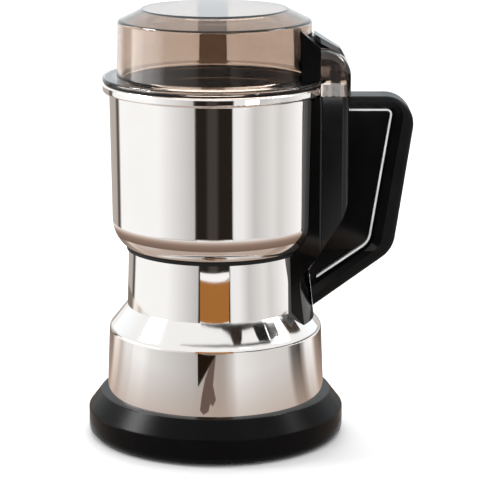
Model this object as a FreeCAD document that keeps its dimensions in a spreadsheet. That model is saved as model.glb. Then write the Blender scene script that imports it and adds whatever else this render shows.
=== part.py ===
import FreeCAD, Part
import math
import os
import Sketcher

os.makedirs("parts", exist_ok=True)
doc = FreeCAD.newDocument("SpiceGrinder")
sheet = doc.addObject("Spreadsheet::Sheet", "Sizes")
row = 0


class Size:
    """A number together with the sheet formula that it comes from."""

    def __init__(self, value, text):
        self.value = float(value)
        self.text = text

    def __add__(self, other):
        other = as_size(other)
        return Size(self.value + other.value, f"({self.text} + {other.text})")

    def __radd__(self, other):
        return as_size(other) + self

    def __sub__(self, other):
        other = as_size(other)
        return Size(self.value - other.value, f"({self.text} - {other.text})")

    def __rsub__(self, other):
        return as_size(other) - self

    def __mul__(self, other):
        other = as_size(other)
        return Size(self.value * other.value, f"({self.text} * {other.text})")

    def __rmul__(self, other):
        return as_size(other) * self

    def __truediv__(self, other):
        other = as_size(other)
        return Size(self.value / other.value, f"({self.text} / {other.text})")

    def __neg__(self):
        return Size(-self.value, f"(0 - {self.text})")


def as_size(number):
    return number if isinstance(number, Size) else Size(number, repr(float(number)))


def size(alias, value, note):
    """Writes one driving dimension to the sheet and gives back its named value."""
    global row
    row += 1
    sheet.set(f"A{row}", note)
    sheet.set(f"B{row}", str(value))
    sheet.setAlias(f"B{row}", alias)
    return Size(value, f"Sizes.{alias}")


# Helpers: sketches whose corners are driven by the sheet, and the features made from them.


def new_body(label):
    body = doc.addObject("PartDesign::Body", label)
    body.Label = label
    return body


def origin_plane(body, role):
    return next(f for f in body.Origin.OriginFeatures if f.Role == role)


def pin_point(sketch, geo, pos, x, y):
    """Fixes one point of a sketch at (x, y)."""
    for axis, kind, size_value in ((-2, "DistanceX", x), (-1, "DistanceY", y)):
        size_value = as_size(size_value)
        if abs(size_value.value) < 1e-9:
            sketch.addConstraint(Sketcher.Constraint("PointOnObject", geo, pos, axis))
        else:
            rule = Sketcher.Constraint(kind, -1, 1, geo, pos, size_value.value)
            n = sketch.addConstraint(rule)
            sketch.setExpression(f"Constraints[{n}]", size_value.text)


def draw_circle(sketch, x, y, radius):
    x, y, radius = as_size(x), as_size(y), as_size(radius)
    centre = FreeCAD.Vector(x.value, y.value, 0)
    up = FreeCAD.Vector(0, 0, 1)
    n = sketch.addGeometry(Part.Circle(centre, up, radius.value), False)
    pin_point(sketch, n, 3, x, y)
    c = sketch.addConstraint(Sketcher.Constraint("Radius", n, radius.value))
    sketch.setExpression(f"Constraints[{c}]", radius.text)


def draw_loop(sketch, corners):
    """Draws a closed outline. Each corner is (x, y) or (x, y, rounding radius)."""
    corners = [tuple(as_size(v) for v in c) for c in corners]
    points = [FreeCAD.Vector(c[0].value, c[1].value, 0) for c in corners]
    count = len(corners)
    entries, exits, arcs = [], [], []
    for i, corner in enumerate(corners):
        here = points[i]
        if len(corner) == 2:
            entries.append(here)
            exits.append(here)
            arcs.append(None)
            continue
        back = (points[i - 1] - here).normalize()
        ahead = (points[(i + 1) % count] - here).normalize()
        half = math.acos(max(-1.0, min(1.0, back.dot(ahead)))) / 2
        reach = corner[2].value / math.tan(half)
        centre_way = (back + ahead).normalize()
        centre = here + centre_way * (corner[2].value / math.sin(half))
        entries.append(here + back * reach)
        exits.append(here + ahead * reach)
        turns_left = back.cross(ahead).z < 0
        arcs.append((centre, turns_left))
    lines = []
    for i in range(count):
        segment = Part.LineSegment(exits[i], entries[(i + 1) % count])
        lines.append(sketch.addGeometry(segment, False))
    for i, corner in enumerate(corners):
        before, after = lines[i - 1], lines[i]
        if arcs[i] is None:
            sketch.addConstraint(Sketcher.Constraint("Coincident", before, 2, after, 1))
            pin_point(sketch, after, 1, corner[0], corner[1])
            continue
        centre, turns_left = arcs[i]
        start, end = (entries[i], exits[i]) if turns_left else (exits[i], entries[i])
        circle = Part.Circle(centre, FreeCAD.Vector(0, 0, 1), corner[2].value)
        first = math.atan2(start.y - centre.y, start.x - centre.x)
        last = math.atan2(end.y - centre.y, end.x - centre.x)
        if last < first:
            last += 2 * math.pi
        arc = sketch.addGeometry(Part.ArcOfCircle(circle, first, last), False)
        ends = (1, 2) if turns_left else (2, 1)
        sketch.addConstraint(Sketcher.Constraint("Tangent", before, 2, arc, ends[0]))
        sketch.addConstraint(Sketcher.Constraint("Tangent", arc, ends[1], after, 1))
        n = sketch.addConstraint(Sketcher.Constraint("Radius", arc, corner[2].value))
        sketch.setExpression(f"Constraints[{n}]", corner[2].text)
        mark = sketch.addGeometry(Part.Point(points[i]), True)
        pin_point(sketch, mark, 1, corner[0], corner[1])
        sketch.addConstraint(Sketcher.Constraint("PointOnObject", mark, 1, before))
        sketch.addConstraint(Sketcher.Constraint("PointOnObject", mark, 1, after))


def new_sketch(body, name, role, loops, raised=None):
    """A sketch on an origin plane. A loop of one 3-tuple is a circle (x, y, radius)."""
    sketch = body.newObject("Sketcher::SketchObject", f"{body.Name}_{name}")
    sketch.AttachmentSupport = [(origin_plane(body, role), "")]
    sketch.MapMode = "FlatFace"
    if raised is not None:
        raised = as_size(raised)
        sketch.AttachmentOffset = FreeCAD.Placement(
            FreeCAD.Vector(0, 0, raised.value), FreeCAD.Rotation()
        )
        sketch.setExpression("AttachmentOffset.Base.z", raised.text)
    for loop in loops:
        if len(loop) == 1:
            draw_circle(sketch, *loop[0])
        else:
            draw_loop(sketch, loop)
    return sketch


def revolve(body, name, loops, cut=False, span=None, turn=None):
    """Turns an outline (radius, height) about the upright axis: all round, or a sector of
    span degrees centred on the direction turn from +X."""
    sketch = new_sketch(body, name + "_sketch", "XZ_Plane", loops)
    kind = "PartDesign::Groove" if cut else "PartDesign::Revolution"
    feature = body.newObject(kind, f"{body.Name}_{name}")
    feature.Profile = sketch
    feature.ReferenceAxis = (sketch, ["V_Axis"])
    feature.Angle = 360
    if span is not None:
        span, turn = as_size(span), as_size(turn)
        upright = FreeCAD.Vector(0, 1, 0)
        sketch.AttachmentOffset = FreeCAD.Placement(
            FreeCAD.Vector(0, 0, 0), FreeCAD.Rotation(upright, turn.value)
        )
        sketch.setExpression("AttachmentOffset.Rotation.Angle", turn.text)
        feature.Midplane = True
        feature.Angle = span.value
        feature.setExpression("Angle", span.text)
    body.Tip = feature
    return feature


def pad(body, name, role, loops, length, raised=None, both=False, flip=False):
    """Raises an outline by length, or by half of it on each side of the plane."""
    sketch = new_sketch(body, name + "_sketch", role, loops, raised)
    feature = body.newObject("PartDesign::Pad", f"{body.Name}_{name}")
    feature.Profile = sketch
    length = as_size(length)
    feature.Length = length.value
    feature.setExpression("Length", length.text)
    feature.Midplane = both
    feature.Reversed = flip
    body.Tip = feature
    return feature


def cut(body, name, role, loops, length, raised=None, both=False, flip=False):
    """Cuts an outline along the plane's normal, or half the length each way."""
    sketch = new_sketch(body, name + "_sketch", role, loops, raised)
    feature = body.newObject("PartDesign::Pocket", f"{body.Name}_{name}")
    feature.Profile = sketch
    length = as_size(length)
    feature.Length = length.value
    feature.setExpression("Length", length.text)
    feature.Midplane = both
    # A pocket runs against the normal, so it is turned to run along it.
    feature.Reversed = not flip
    body.Tip = feature
    return feature


def repeat_round(body, name, features, count):
    """Repeats features about the upright axis."""
    pattern = body.newObject("PartDesign::PolarPattern", f"{body.Name}_{name}")
    pattern.Originals = features
    pattern.Axis = (next(f for f in body.Origin.OriginFeatures if f.Role == "Z_Axis"), [""])
    pattern.Angle = 360
    count = as_size(count)
    pattern.Occurrences = int(count.value)
    pattern.setExpression("Occurrences", count.text)
    body.Tip = pattern
    return pattern


def mirror(body, name, features, role):
    """Mirrors features in an origin plane."""
    feature = body.newObject("PartDesign::Mirrored", f"{body.Name}_{name}")
    feature.Originals = features
    feature.MirrorPlane = (origin_plane(body, role), [""])
    body.Tip = feature
    return feature


def box_loop(x0, y0, x1, y1, radius=None):
    corners = [(x0, y0), (x1, y0), (x1, y1), (x0, y1)]
    return corners if radius is None else [c + (radius,) for c in corners]


nodes = []


# Clearances shared by the whole product
FIT = size("FitGap", 0.15, "gap between fixed parts that sit against a curved face")
RUN = size("RunningGap", 0.05, "radial gap between the shaft and its bushes")
SLIDE = size("SlidingGap", 0.3, "gap round parts that slide by hand")

# Base ring: the black moulded foot that carries everything
FOOT_PROUD = size("FootProud", 1, "height of the rubber feet below the base ring")
DRUM_BOTTOM_RADIUS = size("DrumBottomRadius", 51.1, "outer radius of the drum at the ledge")
LEDGE_BARE = size("LedgeBare", 2.9, "width of the ledge left bare round the steel")
LEDGE_WIDE = size("LedgeWidth", 11, "width of the ledge that the steel stands on")
BASE_FLARE = size("BaseFlare", 6, "reach of the base ring's side beyond its ledge")
BASE_SIDE_TOP = size("BaseSideTop", 12.6, "height where the side turns into the slope")
BASE_FOOT_ROUND = size("BaseFootRound", 2.8, "rounding of the lower outer edge")
BASE_EDGE_ROUND = size("BaseEdgeRound", 0.9, "rounding between side and slope")
BASE_WALL = size("BaseWall", 3, "wall of the base ring")
LEDGE_TOP = size("LedgeTop", 20.5, "height of the ledge that the steel stands on")
LEDGE_ROUND = size("LedgeRound", 0.8, "rounding of the ledge's outer edge")
LEDGE_THICK = size("LedgeThickness", 2.6, "thickness of the ledge")
BOSS_INSET = size("BaseBossInset", 3.5, "distance of the screw bosses in from the ledge's edge")
BOSS_RADIUS = size("BaseBossRadius", 4, "radius of a screw boss")
PLATE_THICK = size("BasePlateThickness", 2.5, "thickness of the bottom plate")
SCREW_RADIUS = size("SmallScrewRadius", 1.4, "radius of a small screw's shank")
SCREW_HEAD = size("SmallScrewHeadRadius", 2.6, "radius of a small screw's head")
HEAD_HIGH = size("SmallScrewHeadHeight", 1.3, "height of a small screw's head")
SCREW_COUNT = size("BaseScrewCount", 4, "screws through the bottom plate")
HOUSING_SCREW_IN = size("HousingScrewInset", 3.5, "distance of the housing screws from the lip's edge")
GLAND_HIGH = size("GlandHeight", 8.2, "height of the cord inlet's axis")
GLAND_BODY = size("GlandBodyRadius", 4, "radius of the inlet's body in the wall")
STEEL_WALL = size("SteelWall", 0.8, "sheet thickness of housing and bowl")

plate_top = FOOT_PROUD + PLATE_THICK
ledge_under = LEDGE_TOP - LEDGE_THICK
ledge_radius = DRUM_BOTTOM_RADIUS + LEDGE_BARE
ledge_inner = ledge_radius - LEDGE_WIDE
base_radius = ledge_radius + BASE_FLARE
base_inner = base_radius - BASE_WALL
boss_circle = ledge_radius - BOSS_INSET
boss_xy = boss_circle * math.sqrt(0.5)
housing_screw_circle = ledge_inner + HOUSING_SCREW_IN
ring = new_body("base_ring")
revolve(ring, "shell", [[
    (base_inner, FOOT_PROUD),
    (base_radius, FOOT_PROUD, BASE_FOOT_ROUND),
    (base_radius, BASE_SIDE_TOP, BASE_EDGE_ROUND),
    (ledge_radius, LEDGE_TOP, LEDGE_ROUND),
    (ledge_inner, LEDGE_TOP),
    (ledge_inner, ledge_under),
    (ledge_radius - BASE_WALL * 0.7, ledge_under),
    (base_inner, BASE_SIDE_TOP + BASE_WALL * 0.1),
]])
boss = pad(ring, "boss", "XY_Plane", [[(boss_xy, boss_xy, BOSS_RADIUS)]],
           ledge_under - plate_top, raised=plate_top)
boss_hole = cut(ring, "boss_hole", "XY_Plane",
                [[(boss_xy, boss_xy, SCREW_RADIUS + RUN)]],
                (ledge_under - plate_top) * 0.75, raised=plate_top)
repeat_round(ring, "bosses", [boss, boss_hole], SCREW_COUNT)
lug_hole = cut(ring, "housing_hole", "XY_Plane", [[(housing_screw_circle, 0, SCREW_RADIUS + SLIDE)]],
               LEDGE_THICK * 2, raised=ledge_under - 1)
repeat_round(ring, "housing_holes", [lug_hole], SCREW_COUNT)
cut(ring, "gland_hole", "XZ_Plane", [[(0, GLAND_HIGH, GLAND_BODY + FIT)]],
    base_radius * 2, flip=True)
nodes.append(ring)

# Bottom plate: closes the base, lets cooling air in through radial slots
VENT_INNER = size("VentInnerRadius", 16, "inner end of the air slots")
VENT_WIDE = size("VentWidth", 3.2, "width of an air slot")
VENT_COUNT = size("VentCount", 12, "number of air slots")
FOOT_RADIUS = size("FootRadius", 7, "radius of a rubber foot")
FOOT_INSET = size("FootInset", 3, "distance of a foot's edge from the ring's wall")
VENT_TO_FOOT = size("VentToFoot", 4, "plate left between the air slots and the feet")
FOOT_SUNK = size("FootSunk", 0.8, "depth of a foot's seat in the plate")

foot_circle = base_inner - FOOT_INSET - FOOT_RADIUS
vent_outer = foot_circle - FOOT_RADIUS - VENT_TO_FOOT
plate = new_body("base_plate")
pad(plate, "disc", "XY_Plane", [[(0, 0, base_inner - FIT)]], PLATE_THICK, raised=FOOT_PROUD)
vent = cut(plate, "vent", "XY_Plane",
           [box_loop(VENT_INNER, -(VENT_WIDE / 2), vent_outer, VENT_WIDE / 2)],
           PLATE_THICK * 2, raised=0)
repeat_round(plate, "vents", [vent], VENT_COUNT)
seat = cut(plate, "foot_seat", "XY_Plane", [[(foot_circle, 0, FOOT_RADIUS + FIT)]],
           FOOT_PROUD + FOOT_SUNK, raised=0)
repeat_round(plate, "foot_seats", [seat], SCREW_COUNT)
hole = cut(plate, "screw_hole", "XY_Plane",
           [[(boss_xy, boss_xy, SCREW_RADIUS + SLIDE)]],
           PLATE_THICK * 2, raised=0)
sink = cut(plate, "screw_sink", "XY_Plane",
           [[(boss_xy, boss_xy, SCREW_HEAD + SLIDE)]],
           FOOT_PROUD + HEAD_HIGH, raised=0)
repeat_round(plate, "screw_holes", [hole, sink], SCREW_COUNT)
nodes.append(plate)

feet = new_body("rubber_feet")
foot = pad(feet, "foot", "XY_Plane", [[(foot_circle, 0, FOOT_RADIUS)]], FOOT_PROUD + FOOT_SUNK)
repeat_round(feet, "feet", [foot], SCREW_COUNT)
nodes.append(feet)

# Screws that hold the bottom plate to the ring
head_seat = FOOT_PROUD + HEAD_HIGH
screws = new_body("base_screws")
head = pad(screws, "head", "XY_Plane",
           [[(boss_xy, boss_xy, SCREW_HEAD)]],
           HEAD_HIGH - 0.1, raised=FOOT_PROUD + 0.1)
shank = pad(screws, "shank", "XY_Plane",
            [[(boss_xy, boss_xy, SCREW_RADIUS)]],
            (ledge_under - plate_top) * 0.7 + plate_top - head_seat, raised=head_seat)
repeat_round(screws, "screws", [head, shank], SCREW_COUNT)
nodes.append(screws)

# Cord inlet: a rubber bush in the rear wall of the base ring
CORD_RADIUS = size("InletBoreRadius", 2.8, "bore for the supply cord")
GLAND_COLLAR = size("GlandCollarRadius", 4.6, "radius of the inlet's collars")
GLAND_PROUD = size("GlandProud", 2, "length of the outer collar")

gland = new_body("cord_gland")
pad(gland, "inner_collar", "XZ_Plane", [[(0, GLAND_HIGH, GLAND_COLLAR)]],
    2.5 - FIT, raised=-(base_inner - FIT - 0.3))
pad(gland, "body", "XZ_Plane", [[(0, GLAND_HIGH, GLAND_BODY)]],
    BASE_WALL + GLAND_PROUD + FIT + 0.3, raised=-(base_inner - FIT - 0.3), flip=True)
pad(gland, "outer_collar", "XZ_Plane", [[(0, GLAND_HIGH, GLAND_COLLAR)]],
    GLAND_PROUD - FIT, raised=-(base_radius + FIT), flip=True)
cut(gland, "bore", "XZ_Plane", [[(0, GLAND_HIGH, CORD_RADIUS)]],
    base_radius * 2, flip=True)
nodes.append(gland)

# Motor housing: one drawn and polished steel shell, drum, shoulder and neck
DRUM_TAPER = size("DrumTaper", 1.25, "radius that the drum loses up to the shoulder")
DRUM_TOP = size("DrumTop", 51.7, "height of the drum's top edge")
SHOULDER_ROUND = size("ShoulderRound", 4, "rounding of the shoulder's outer edge")
NECK_BOTTOM_RADIUS = size("NeckBottomRadius", 41.3, "outer radius of the neck's foot")
NECK_BOTTOM = size("NeckBottom", 62.3, "height of the crease under the neck")
NECK_TOP_RADIUS = size("NeckTopRadius", 40.5, "outer radius of the neck's mouth")
NECK_TOP = size("NeckTop", 88.9, "height of the neck's mouth")
LIP_SHORT = size("HousingLipShort", 0.5, "width by which the steel's lip is narrower than the ledge")
# A corner of the inner skin lies lower than the outer one by this share of the sheet.
CORNER_DROP = 0.37
CORNER_IN = 0.99


drum_top_radius = DRUM_BOTTOM_RADIUS - DRUM_TAPER
lip_inner = ledge_inner + LIP_SHORT


def housing_outline(gap):
    """The housing's outer profile, grown by gap, as corners from the ledge up."""
    return [
        (DRUM_BOTTOM_RADIUS + gap, LEDGE_TOP),
        (drum_top_radius + gap, DRUM_TOP + gap * CORNER_DROP, SHOULDER_ROUND + gap),
        (NECK_BOTTOM_RADIUS + gap, NECK_BOTTOM + gap * CORNER_DROP),
        (NECK_TOP_RADIUS + gap, NECK_TOP),
    ]


housing = new_body("motor_housing")
revolve(housing, "shell", [housing_outline(as_size(0)) + [
    (NECK_TOP_RADIUS - STEEL_WALL, NECK_TOP),
    (NECK_BOTTOM_RADIUS - STEEL_WALL * CORNER_IN, NECK_BOTTOM - STEEL_WALL * CORNER_DROP),
    (drum_top_radius - STEEL_WALL * CORNER_IN, DRUM_TOP - STEEL_WALL * CORNER_DROP,
     SHOULDER_ROUND - STEEL_WALL),
    (DRUM_BOTTOM_RADIUS - STEEL_WALL, LEDGE_TOP + STEEL_WALL),
    (lip_inner, LEDGE_TOP + STEEL_WALL),
    (lip_inner, LEDGE_TOP),
]])
lip_hole = cut(housing, "lip_hole", "XY_Plane", [[(housing_screw_circle, 0, SCREW_RADIUS + SLIDE)]],
               STEEL_WALL * 3, raised=LEDGE_TOP - STEEL_WALL)
repeat_round(housing, "lip_holes", [lip_hole], SCREW_COUNT)
FOOT_SCREW_LOW = size("FootScrewLow", 67, "height of the lower screw in the column's foot")
FOOT_SCREW_HIGH = size("FootScrewHigh", 79, "height of the upper screw in the column's foot")
LEAD_HOLE_HIGH = size("LeadHoleHeight", 73, "height of the wiring hole in the neck")
LEAD_HOLE_RADIUS = size("LeadHoleRadius", 3, "radius of the wiring hole in the neck")
cut(housing, "foot_holes", "YZ_Plane", [
    [(0, FOOT_SCREW_LOW, SCREW_RADIUS + SLIDE)],
    [(0, FOOT_SCREW_HIGH, SCREW_RADIUS + SLIDE)],
    [(9, LEAD_HOLE_HIGH, LEAD_HOLE_RADIUS)],
], base_radius)
nodes.append(housing)

# Bowl: deep drawn steel with a rolled rim, fixed on the neck
BOWL_FLOOR = size("BowlFloor", 87.3, "height of the bowl's underside")
BOWL_FOOT_RADIUS = size("BowlFootRadius", 47.65, "outer radius of the wall carried down to the floor")
BOWL_TOP_RADIUS = size("BowlTopRadius", 48.75, "outer radius of the wall under the rim")
BOWL_CORNER = size("BowlCornerRadius", 16, "outer rounding between wall and floor")
RIM_RADIUS = size("RimRadius", 51.8, "outer radius of the rolled rim")
RIM_BOTTOM = size("RimBottom", 162.7, "height of the rim's lower edge")
RIM_TOP = size("RimTop", 166.9, "height of the rim's upper edge")
RIM_ROUND = size("RimRound", 1.1, "rounding of the rim's outer edges")
BOWL_HOLE = size("BowlHoleRadius", 8.8, "hole in the bowl's floor for the bush")
BOWL_SCREW_CIRCLE = size("BowlScrewCircle", 17, "circle of the screws in the bowl's floor")
BOWL_SCREW_COUNT = size("BowlScrewCount", 3, "screws in the bowl's floor")

bowl_floor_top = BOWL_FLOOR + STEEL_WALL
bowl_inner_top = BOWL_TOP_RADIUS - STEEL_WALL


def bowl_outline(gap):
    """The bowl's outside below the rim, grown by gap, from the axis outwards."""
    return [
        (0, BOWL_FLOOR - gap),
        (BOWL_FOOT_RADIUS + gap, BOWL_FLOOR - gap, BOWL_CORNER + gap),
        (BOWL_TOP_RADIUS + gap, RIM_BOTTOM - gap),
    ]


bowl = new_body("bowl")
revolve(bowl, "shell", [[
    (BOWL_HOLE, BOWL_FLOOR),
    (BOWL_FOOT_RADIUS, BOWL_FLOOR, BOWL_CORNER),
    (BOWL_TOP_RADIUS, RIM_BOTTOM, STEEL_WALL),
    (RIM_RADIUS, RIM_BOTTOM, RIM_ROUND),
    (RIM_RADIUS, RIM_TOP, RIM_ROUND),
    (bowl_inner_top, RIM_TOP, STEEL_WALL),
    (BOWL_FOOT_RADIUS - STEEL_WALL, bowl_floor_top, BOWL_CORNER - STEEL_WALL),
    (BOWL_HOLE, bowl_floor_top),
]])
floor_hole = cut(bowl, "floor_hole", "XY_Plane", [[(BOWL_SCREW_CIRCLE, 0, SCREW_RADIUS + SLIDE)]],
                 STEEL_WALL * 3, raised=BOWL_FLOOR - STEEL_WALL)
repeat_round(bowl, "floor_holes", [floor_hole], BOWL_SCREW_COUNT)
nodes.append(bowl)

# Seal between neck and bowl, shaped to the bowl's rounded corner
SEAL_INNER = size("NeckSealInner", 37.6, "inner radius of the neck seal")
SEAL_OUTER = size("NeckSealOuter", 41.4, "outer radius of the neck seal")
SEAL_DEEP = size("NeckSealDepth", 4, "depth of the seal's skirt in the neck")

seal = new_body("neck_seal")
revolve(seal, "ring", [[
    (SEAL_INNER, NECK_TOP - SEAL_DEEP),
    (NECK_TOP_RADIUS - STEEL_WALL - FIT, NECK_TOP - SEAL_DEEP),
    (NECK_TOP_RADIUS - STEEL_WALL - FIT, NECK_TOP),
    (SEAL_OUTER, NECK_TOP),
    (SEAL_OUTER, NECK_TOP + 3),
    (SEAL_INNER, NECK_TOP + 3),
]])
revolve(seal, "bowl_seat", [bowl_outline(RUN) + [(0, RIM_BOTTOM - RUN)]], cut=True)
nodes.append(seal)

# Upper motor bracket: a cast bridge under the bowl's floor that carries the upper bush
BRIDGE_THICK = size("BridgeThickness", 5, "thickness of the upper bracket's plate")
BRIDGE_RADIUS = size("BridgeRadius", 36.5, "radius of the upper bracket's plate")
BRIDGE_BOSS = size("BridgeBossRadius", 10.5, "radius of the boss round the upper bush")
BRIDGE_BOSS_DEEP = size("BridgeBossDepth", 2.8, "length of the boss below the plate")
POST_CIRCLE = size("PostCircle", 29, "distance of the through bolts from the axis")
POST_RADIUS = size("PostRadius", 4.6, "radius of the posts round the through bolts")
BOLT_RADIUS = size("BoltRadius", 2, "radius of a through bolt")
SHAFT_RADIUS = size("ShaftRadius", 4, "radius of the motor shaft")
BUSH_RADIUS = size("BushRadius", 7.5, "outer radius of the shaft's bushes")
STACK_BOTTOM = size("StackBottom", 44, "height of the laminations' underside")
STACK_HIGH = size("StackHeight", 22, "height of the lamination stack")
BRIDGE_WINDOW = size("BridgeWindowRadius", 6, "radius of the cooling holes in the bracket")
WINDOW_CIRCLE = size("BridgeWindowCircle", 25.5, "circle of the bracket's cooling holes")

stack_top = STACK_BOTTOM + STACK_HIGH
bridge_under = BOWL_FLOOR - BRIDGE_THICK
boss_under = bridge_under - BRIDGE_BOSS_DEEP
bridge = new_body("upper_bracket")
pad(bridge, "plate", "XY_Plane", [[(0, 0, BRIDGE_RADIUS)]], BRIDGE_THICK, raised=bridge_under)
pad(bridge, "boss", "XY_Plane", [[(0, 0, BRIDGE_BOSS)]], BRIDGE_BOSS_DEEP + 1, raised=boss_under)
pad(bridge, "posts", "XY_Plane", [[(POST_CIRCLE, 0, POST_RADIUS)], [(-POST_CIRCLE, 0, POST_RADIUS)]],
    bridge_under - stack_top + 1, raised=stack_top)
cut(bridge, "bush_seat", "XY_Plane", [[(0, 0, BUSH_RADIUS)]], BRIDGE_THICK * 3, raised=boss_under)
cut(bridge, "bolt_holes", "XY_Plane",
    [[(POST_CIRCLE, 0, BOLT_RADIUS + RUN)], [(-POST_CIRCLE, 0, BOLT_RADIUS + RUN)]],
    (bridge_under - stack_top) * 0.8, raised=stack_top)
tap = cut(bridge, "bowl_screw_hole", "XY_Plane", [[(BOWL_SCREW_CIRCLE, 0, SCREW_RADIUS + RUN)]],
          BRIDGE_THICK * 3, raised=bridge_under)
repeat_round(bridge, "bowl_screw_holes", [tap], BOWL_SCREW_COUNT)
window = cut(bridge, "window", "XY_Plane",
             [[(WINDOW_CIRCLE * 0.5, WINDOW_CIRCLE * 0.866, BRIDGE_WINDOW)]],
             BRIDGE_THICK * 3, raised=bridge_under)
mirror(bridge, "window_pair", [window], "YZ_Plane")
cut(bridge, "window_low", "XY_Plane", [
    [(WINDOW_CIRCLE * 0.5, WINDOW_CIRCLE * -0.866, BRIDGE_WINDOW)],
    [(WINDOW_CIRCLE * -0.5, WINDOW_CIRCLE * -0.866, BRIDGE_WINDOW)],
], BRIDGE_THICK * 3, raised=bridge_under)
nodes.append(bridge)

# Sintered bushes in which the shaft turns
upper_bush = new_body("upper_bush")
revolve(upper_bush, "ring", [[
    (SHAFT_RADIUS + RUN, boss_under), (BUSH_RADIUS, boss_under),
    (BUSH_RADIUS, BOWL_FLOOR), (SHAFT_RADIUS + RUN, BOWL_FLOOR),
]])
nodes.append(upper_bush)

# Lower motor bracket: four arms screwed to the housing's lip, brush carriers on top
ARM_THICK = size("ArmThickness", 4, "thickness of the lower bracket")
ARM_WIDE = size("ArmWidth", 12, "width of an arm of the lower bracket")
ARM_PAST = size("ArmPastScrew", 2.7, "length of an arm beyond its screw")
LOWER_BOSS = size("LowerBossDepth", 7.5, "depth of the lower bush's boss below the arms")
HUB_PLATE = size("HubPlateRadius", 34, "radius of the lower bracket's disc")

arm_bottom = LEDGE_TOP + STEEL_WALL
arm_top = arm_bottom + ARM_THICK
lower_boss_end = arm_bottom - LOWER_BOSS
lower = new_body("lower_bracket")
pad(lower, "disc", "XY_Plane", [[(0, 0, HUB_PLATE)]], ARM_THICK, raised=arm_bottom)
arm = pad(lower, "arm", "XY_Plane", [
    box_loop(0, -(ARM_WIDE / 2), housing_screw_circle + ARM_PAST, ARM_WIDE / 2, 3)
], ARM_THICK, raised=arm_bottom)
repeat_round(lower, "arms", [arm], SCREW_COUNT)
pad(lower, "boss", "XY_Plane", [[(0, 0, BRIDGE_BOSS)]], LOWER_BOSS + 1, raised=lower_boss_end)
pad(lower, "posts", "XY_Plane", [[(POST_CIRCLE, 0, POST_RADIUS)], [(-POST_CIRCLE, 0, POST_RADIUS)]],
    STACK_BOTTOM - arm_top + 1, raised=arm_top - 1)
cut(lower, "bush_seat", "XY_Plane", [[(0, 0, BUSH_RADIUS)]], ARM_THICK * 6, raised=lower_boss_end)
cut(lower, "bolt_holes", "XY_Plane",
    [[(POST_CIRCLE, 0, BOLT_RADIUS + RUN)], [(-POST_CIRCLE, 0, BOLT_RADIUS + RUN)]],
    STACK_BOTTOM, raised=LEDGE_TOP)
arm_hole = cut(lower, "arm_hole", "XY_Plane", [[(housing_screw_circle, 0, SCREW_RADIUS + RUN)]],
               ARM_THICK * 0.8, raised=arm_bottom)
repeat_round(lower, "arm_holes", [arm_hole], SCREW_COUNT)
nodes.append(lower)

lower_bush = new_body("lower_bush")
revolve(lower_bush, "ring", [[
    (SHAFT_RADIUS + RUN, lower_boss_end), (BUSH_RADIUS, lower_boss_end),
    (BUSH_RADIUS, arm_top), (SHAFT_RADIUS + RUN, arm_top),
]])
nodes.append(lower_bush)

# Screws from below through ledge and lip into the arms
housing_screws = new_body("housing_screws")
head = pad(housing_screws, "head", "XY_Plane", [[(housing_screw_circle, 0, SCREW_HEAD)]],
           HEAD_HIGH, raised=ledge_under - HEAD_HIGH)
shank = pad(housing_screws, "shank", "XY_Plane", [[(housing_screw_circle, 0, SCREW_RADIUS)]],
            LEDGE_THICK + STEEL_WALL + ARM_THICK * 0.7, raised=ledge_under)
repeat_round(housing_screws, "screws", [head, shank], SCREW_COUNT)
nodes.append(housing_screws)

# Field: laminated stator with two saddle coils in its four slots
STATOR_LONG = size("StatorLength", 66, "stator across the bolts")
STATOR_WIDE = size("StatorWidth", 56, "stator along the poles")
STATOR_ROUND = size("StatorRound", 11, "rounding of the stator's corners")
STATOR_BORE = size("StatorBore", 18.8, "radius of the stator's bore")
COIL_INNER = size("CoilInnerRadius", 19.4, "inner radius of the field coils")
COIL_OUTER = size("CoilOuterRadius", 27.4, "outer radius of the field coils")
COIL_RISE = size("CoilRise", 5.5, "height of the coil ends above the stack")
COIL_SPAN = size("CoilSpan", 106, "angle that a coil spans, degrees")
COIL_LEG = size("CoilLegSpan", 16, "angle that a coil's leg spans, degrees")

stator = new_body("stator_core")
pad(stator, "stack", "XY_Plane", [
    box_loop(-(STATOR_LONG / 2), -(STATOR_WIDE / 2), STATOR_LONG / 2, STATOR_WIDE / 2, STATOR_ROUND),
    [(0, 0, STATOR_BORE)],
    [(POST_CIRCLE, 0, BOLT_RADIUS + RUN)],
    [(-POST_CIRCLE, 0, BOLT_RADIUS + RUN)],
], STACK_HIGH, raised=STACK_BOTTOM)
COIL_LEG_AT = (COIL_SPAN - COIL_LEG) / 2
slot_outline = box_loop(STATOR_BORE - 1, STACK_BOTTOM - 1, COIL_OUTER + FIT, stack_top + 1)
slot_a = revolve(stator, "slot_a", [slot_outline], cut=True, span=COIL_LEG + 2, turn=90 - COIL_LEG_AT)
slot_b = revolve(stator, "slot_b", [slot_outline], cut=True, span=COIL_LEG + 2, turn=90 + COIL_LEG_AT)
mirror(stator, "slots", [slot_a, slot_b], "XZ_Plane")
nodes.append(stator)

coils = new_body("field_coils")
coil = revolve(coils, "coil", [
    box_loop(COIL_INNER, STACK_BOTTOM - COIL_RISE, COIL_OUTER, stack_top + COIL_RISE),
], span=COIL_SPAN, turn=90)
pole = revolve(coils, "pole", [
    box_loop(COIL_INNER - 1, STACK_BOTTOM - FIT, COIL_OUTER + 1, stack_top + FIT),
], cut=True, span=COIL_SPAN - COIL_LEG * 2, turn=90)
mirror(coils, "pair", [coil, pole], "XZ_Plane")
nodes.append(coils)

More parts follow.
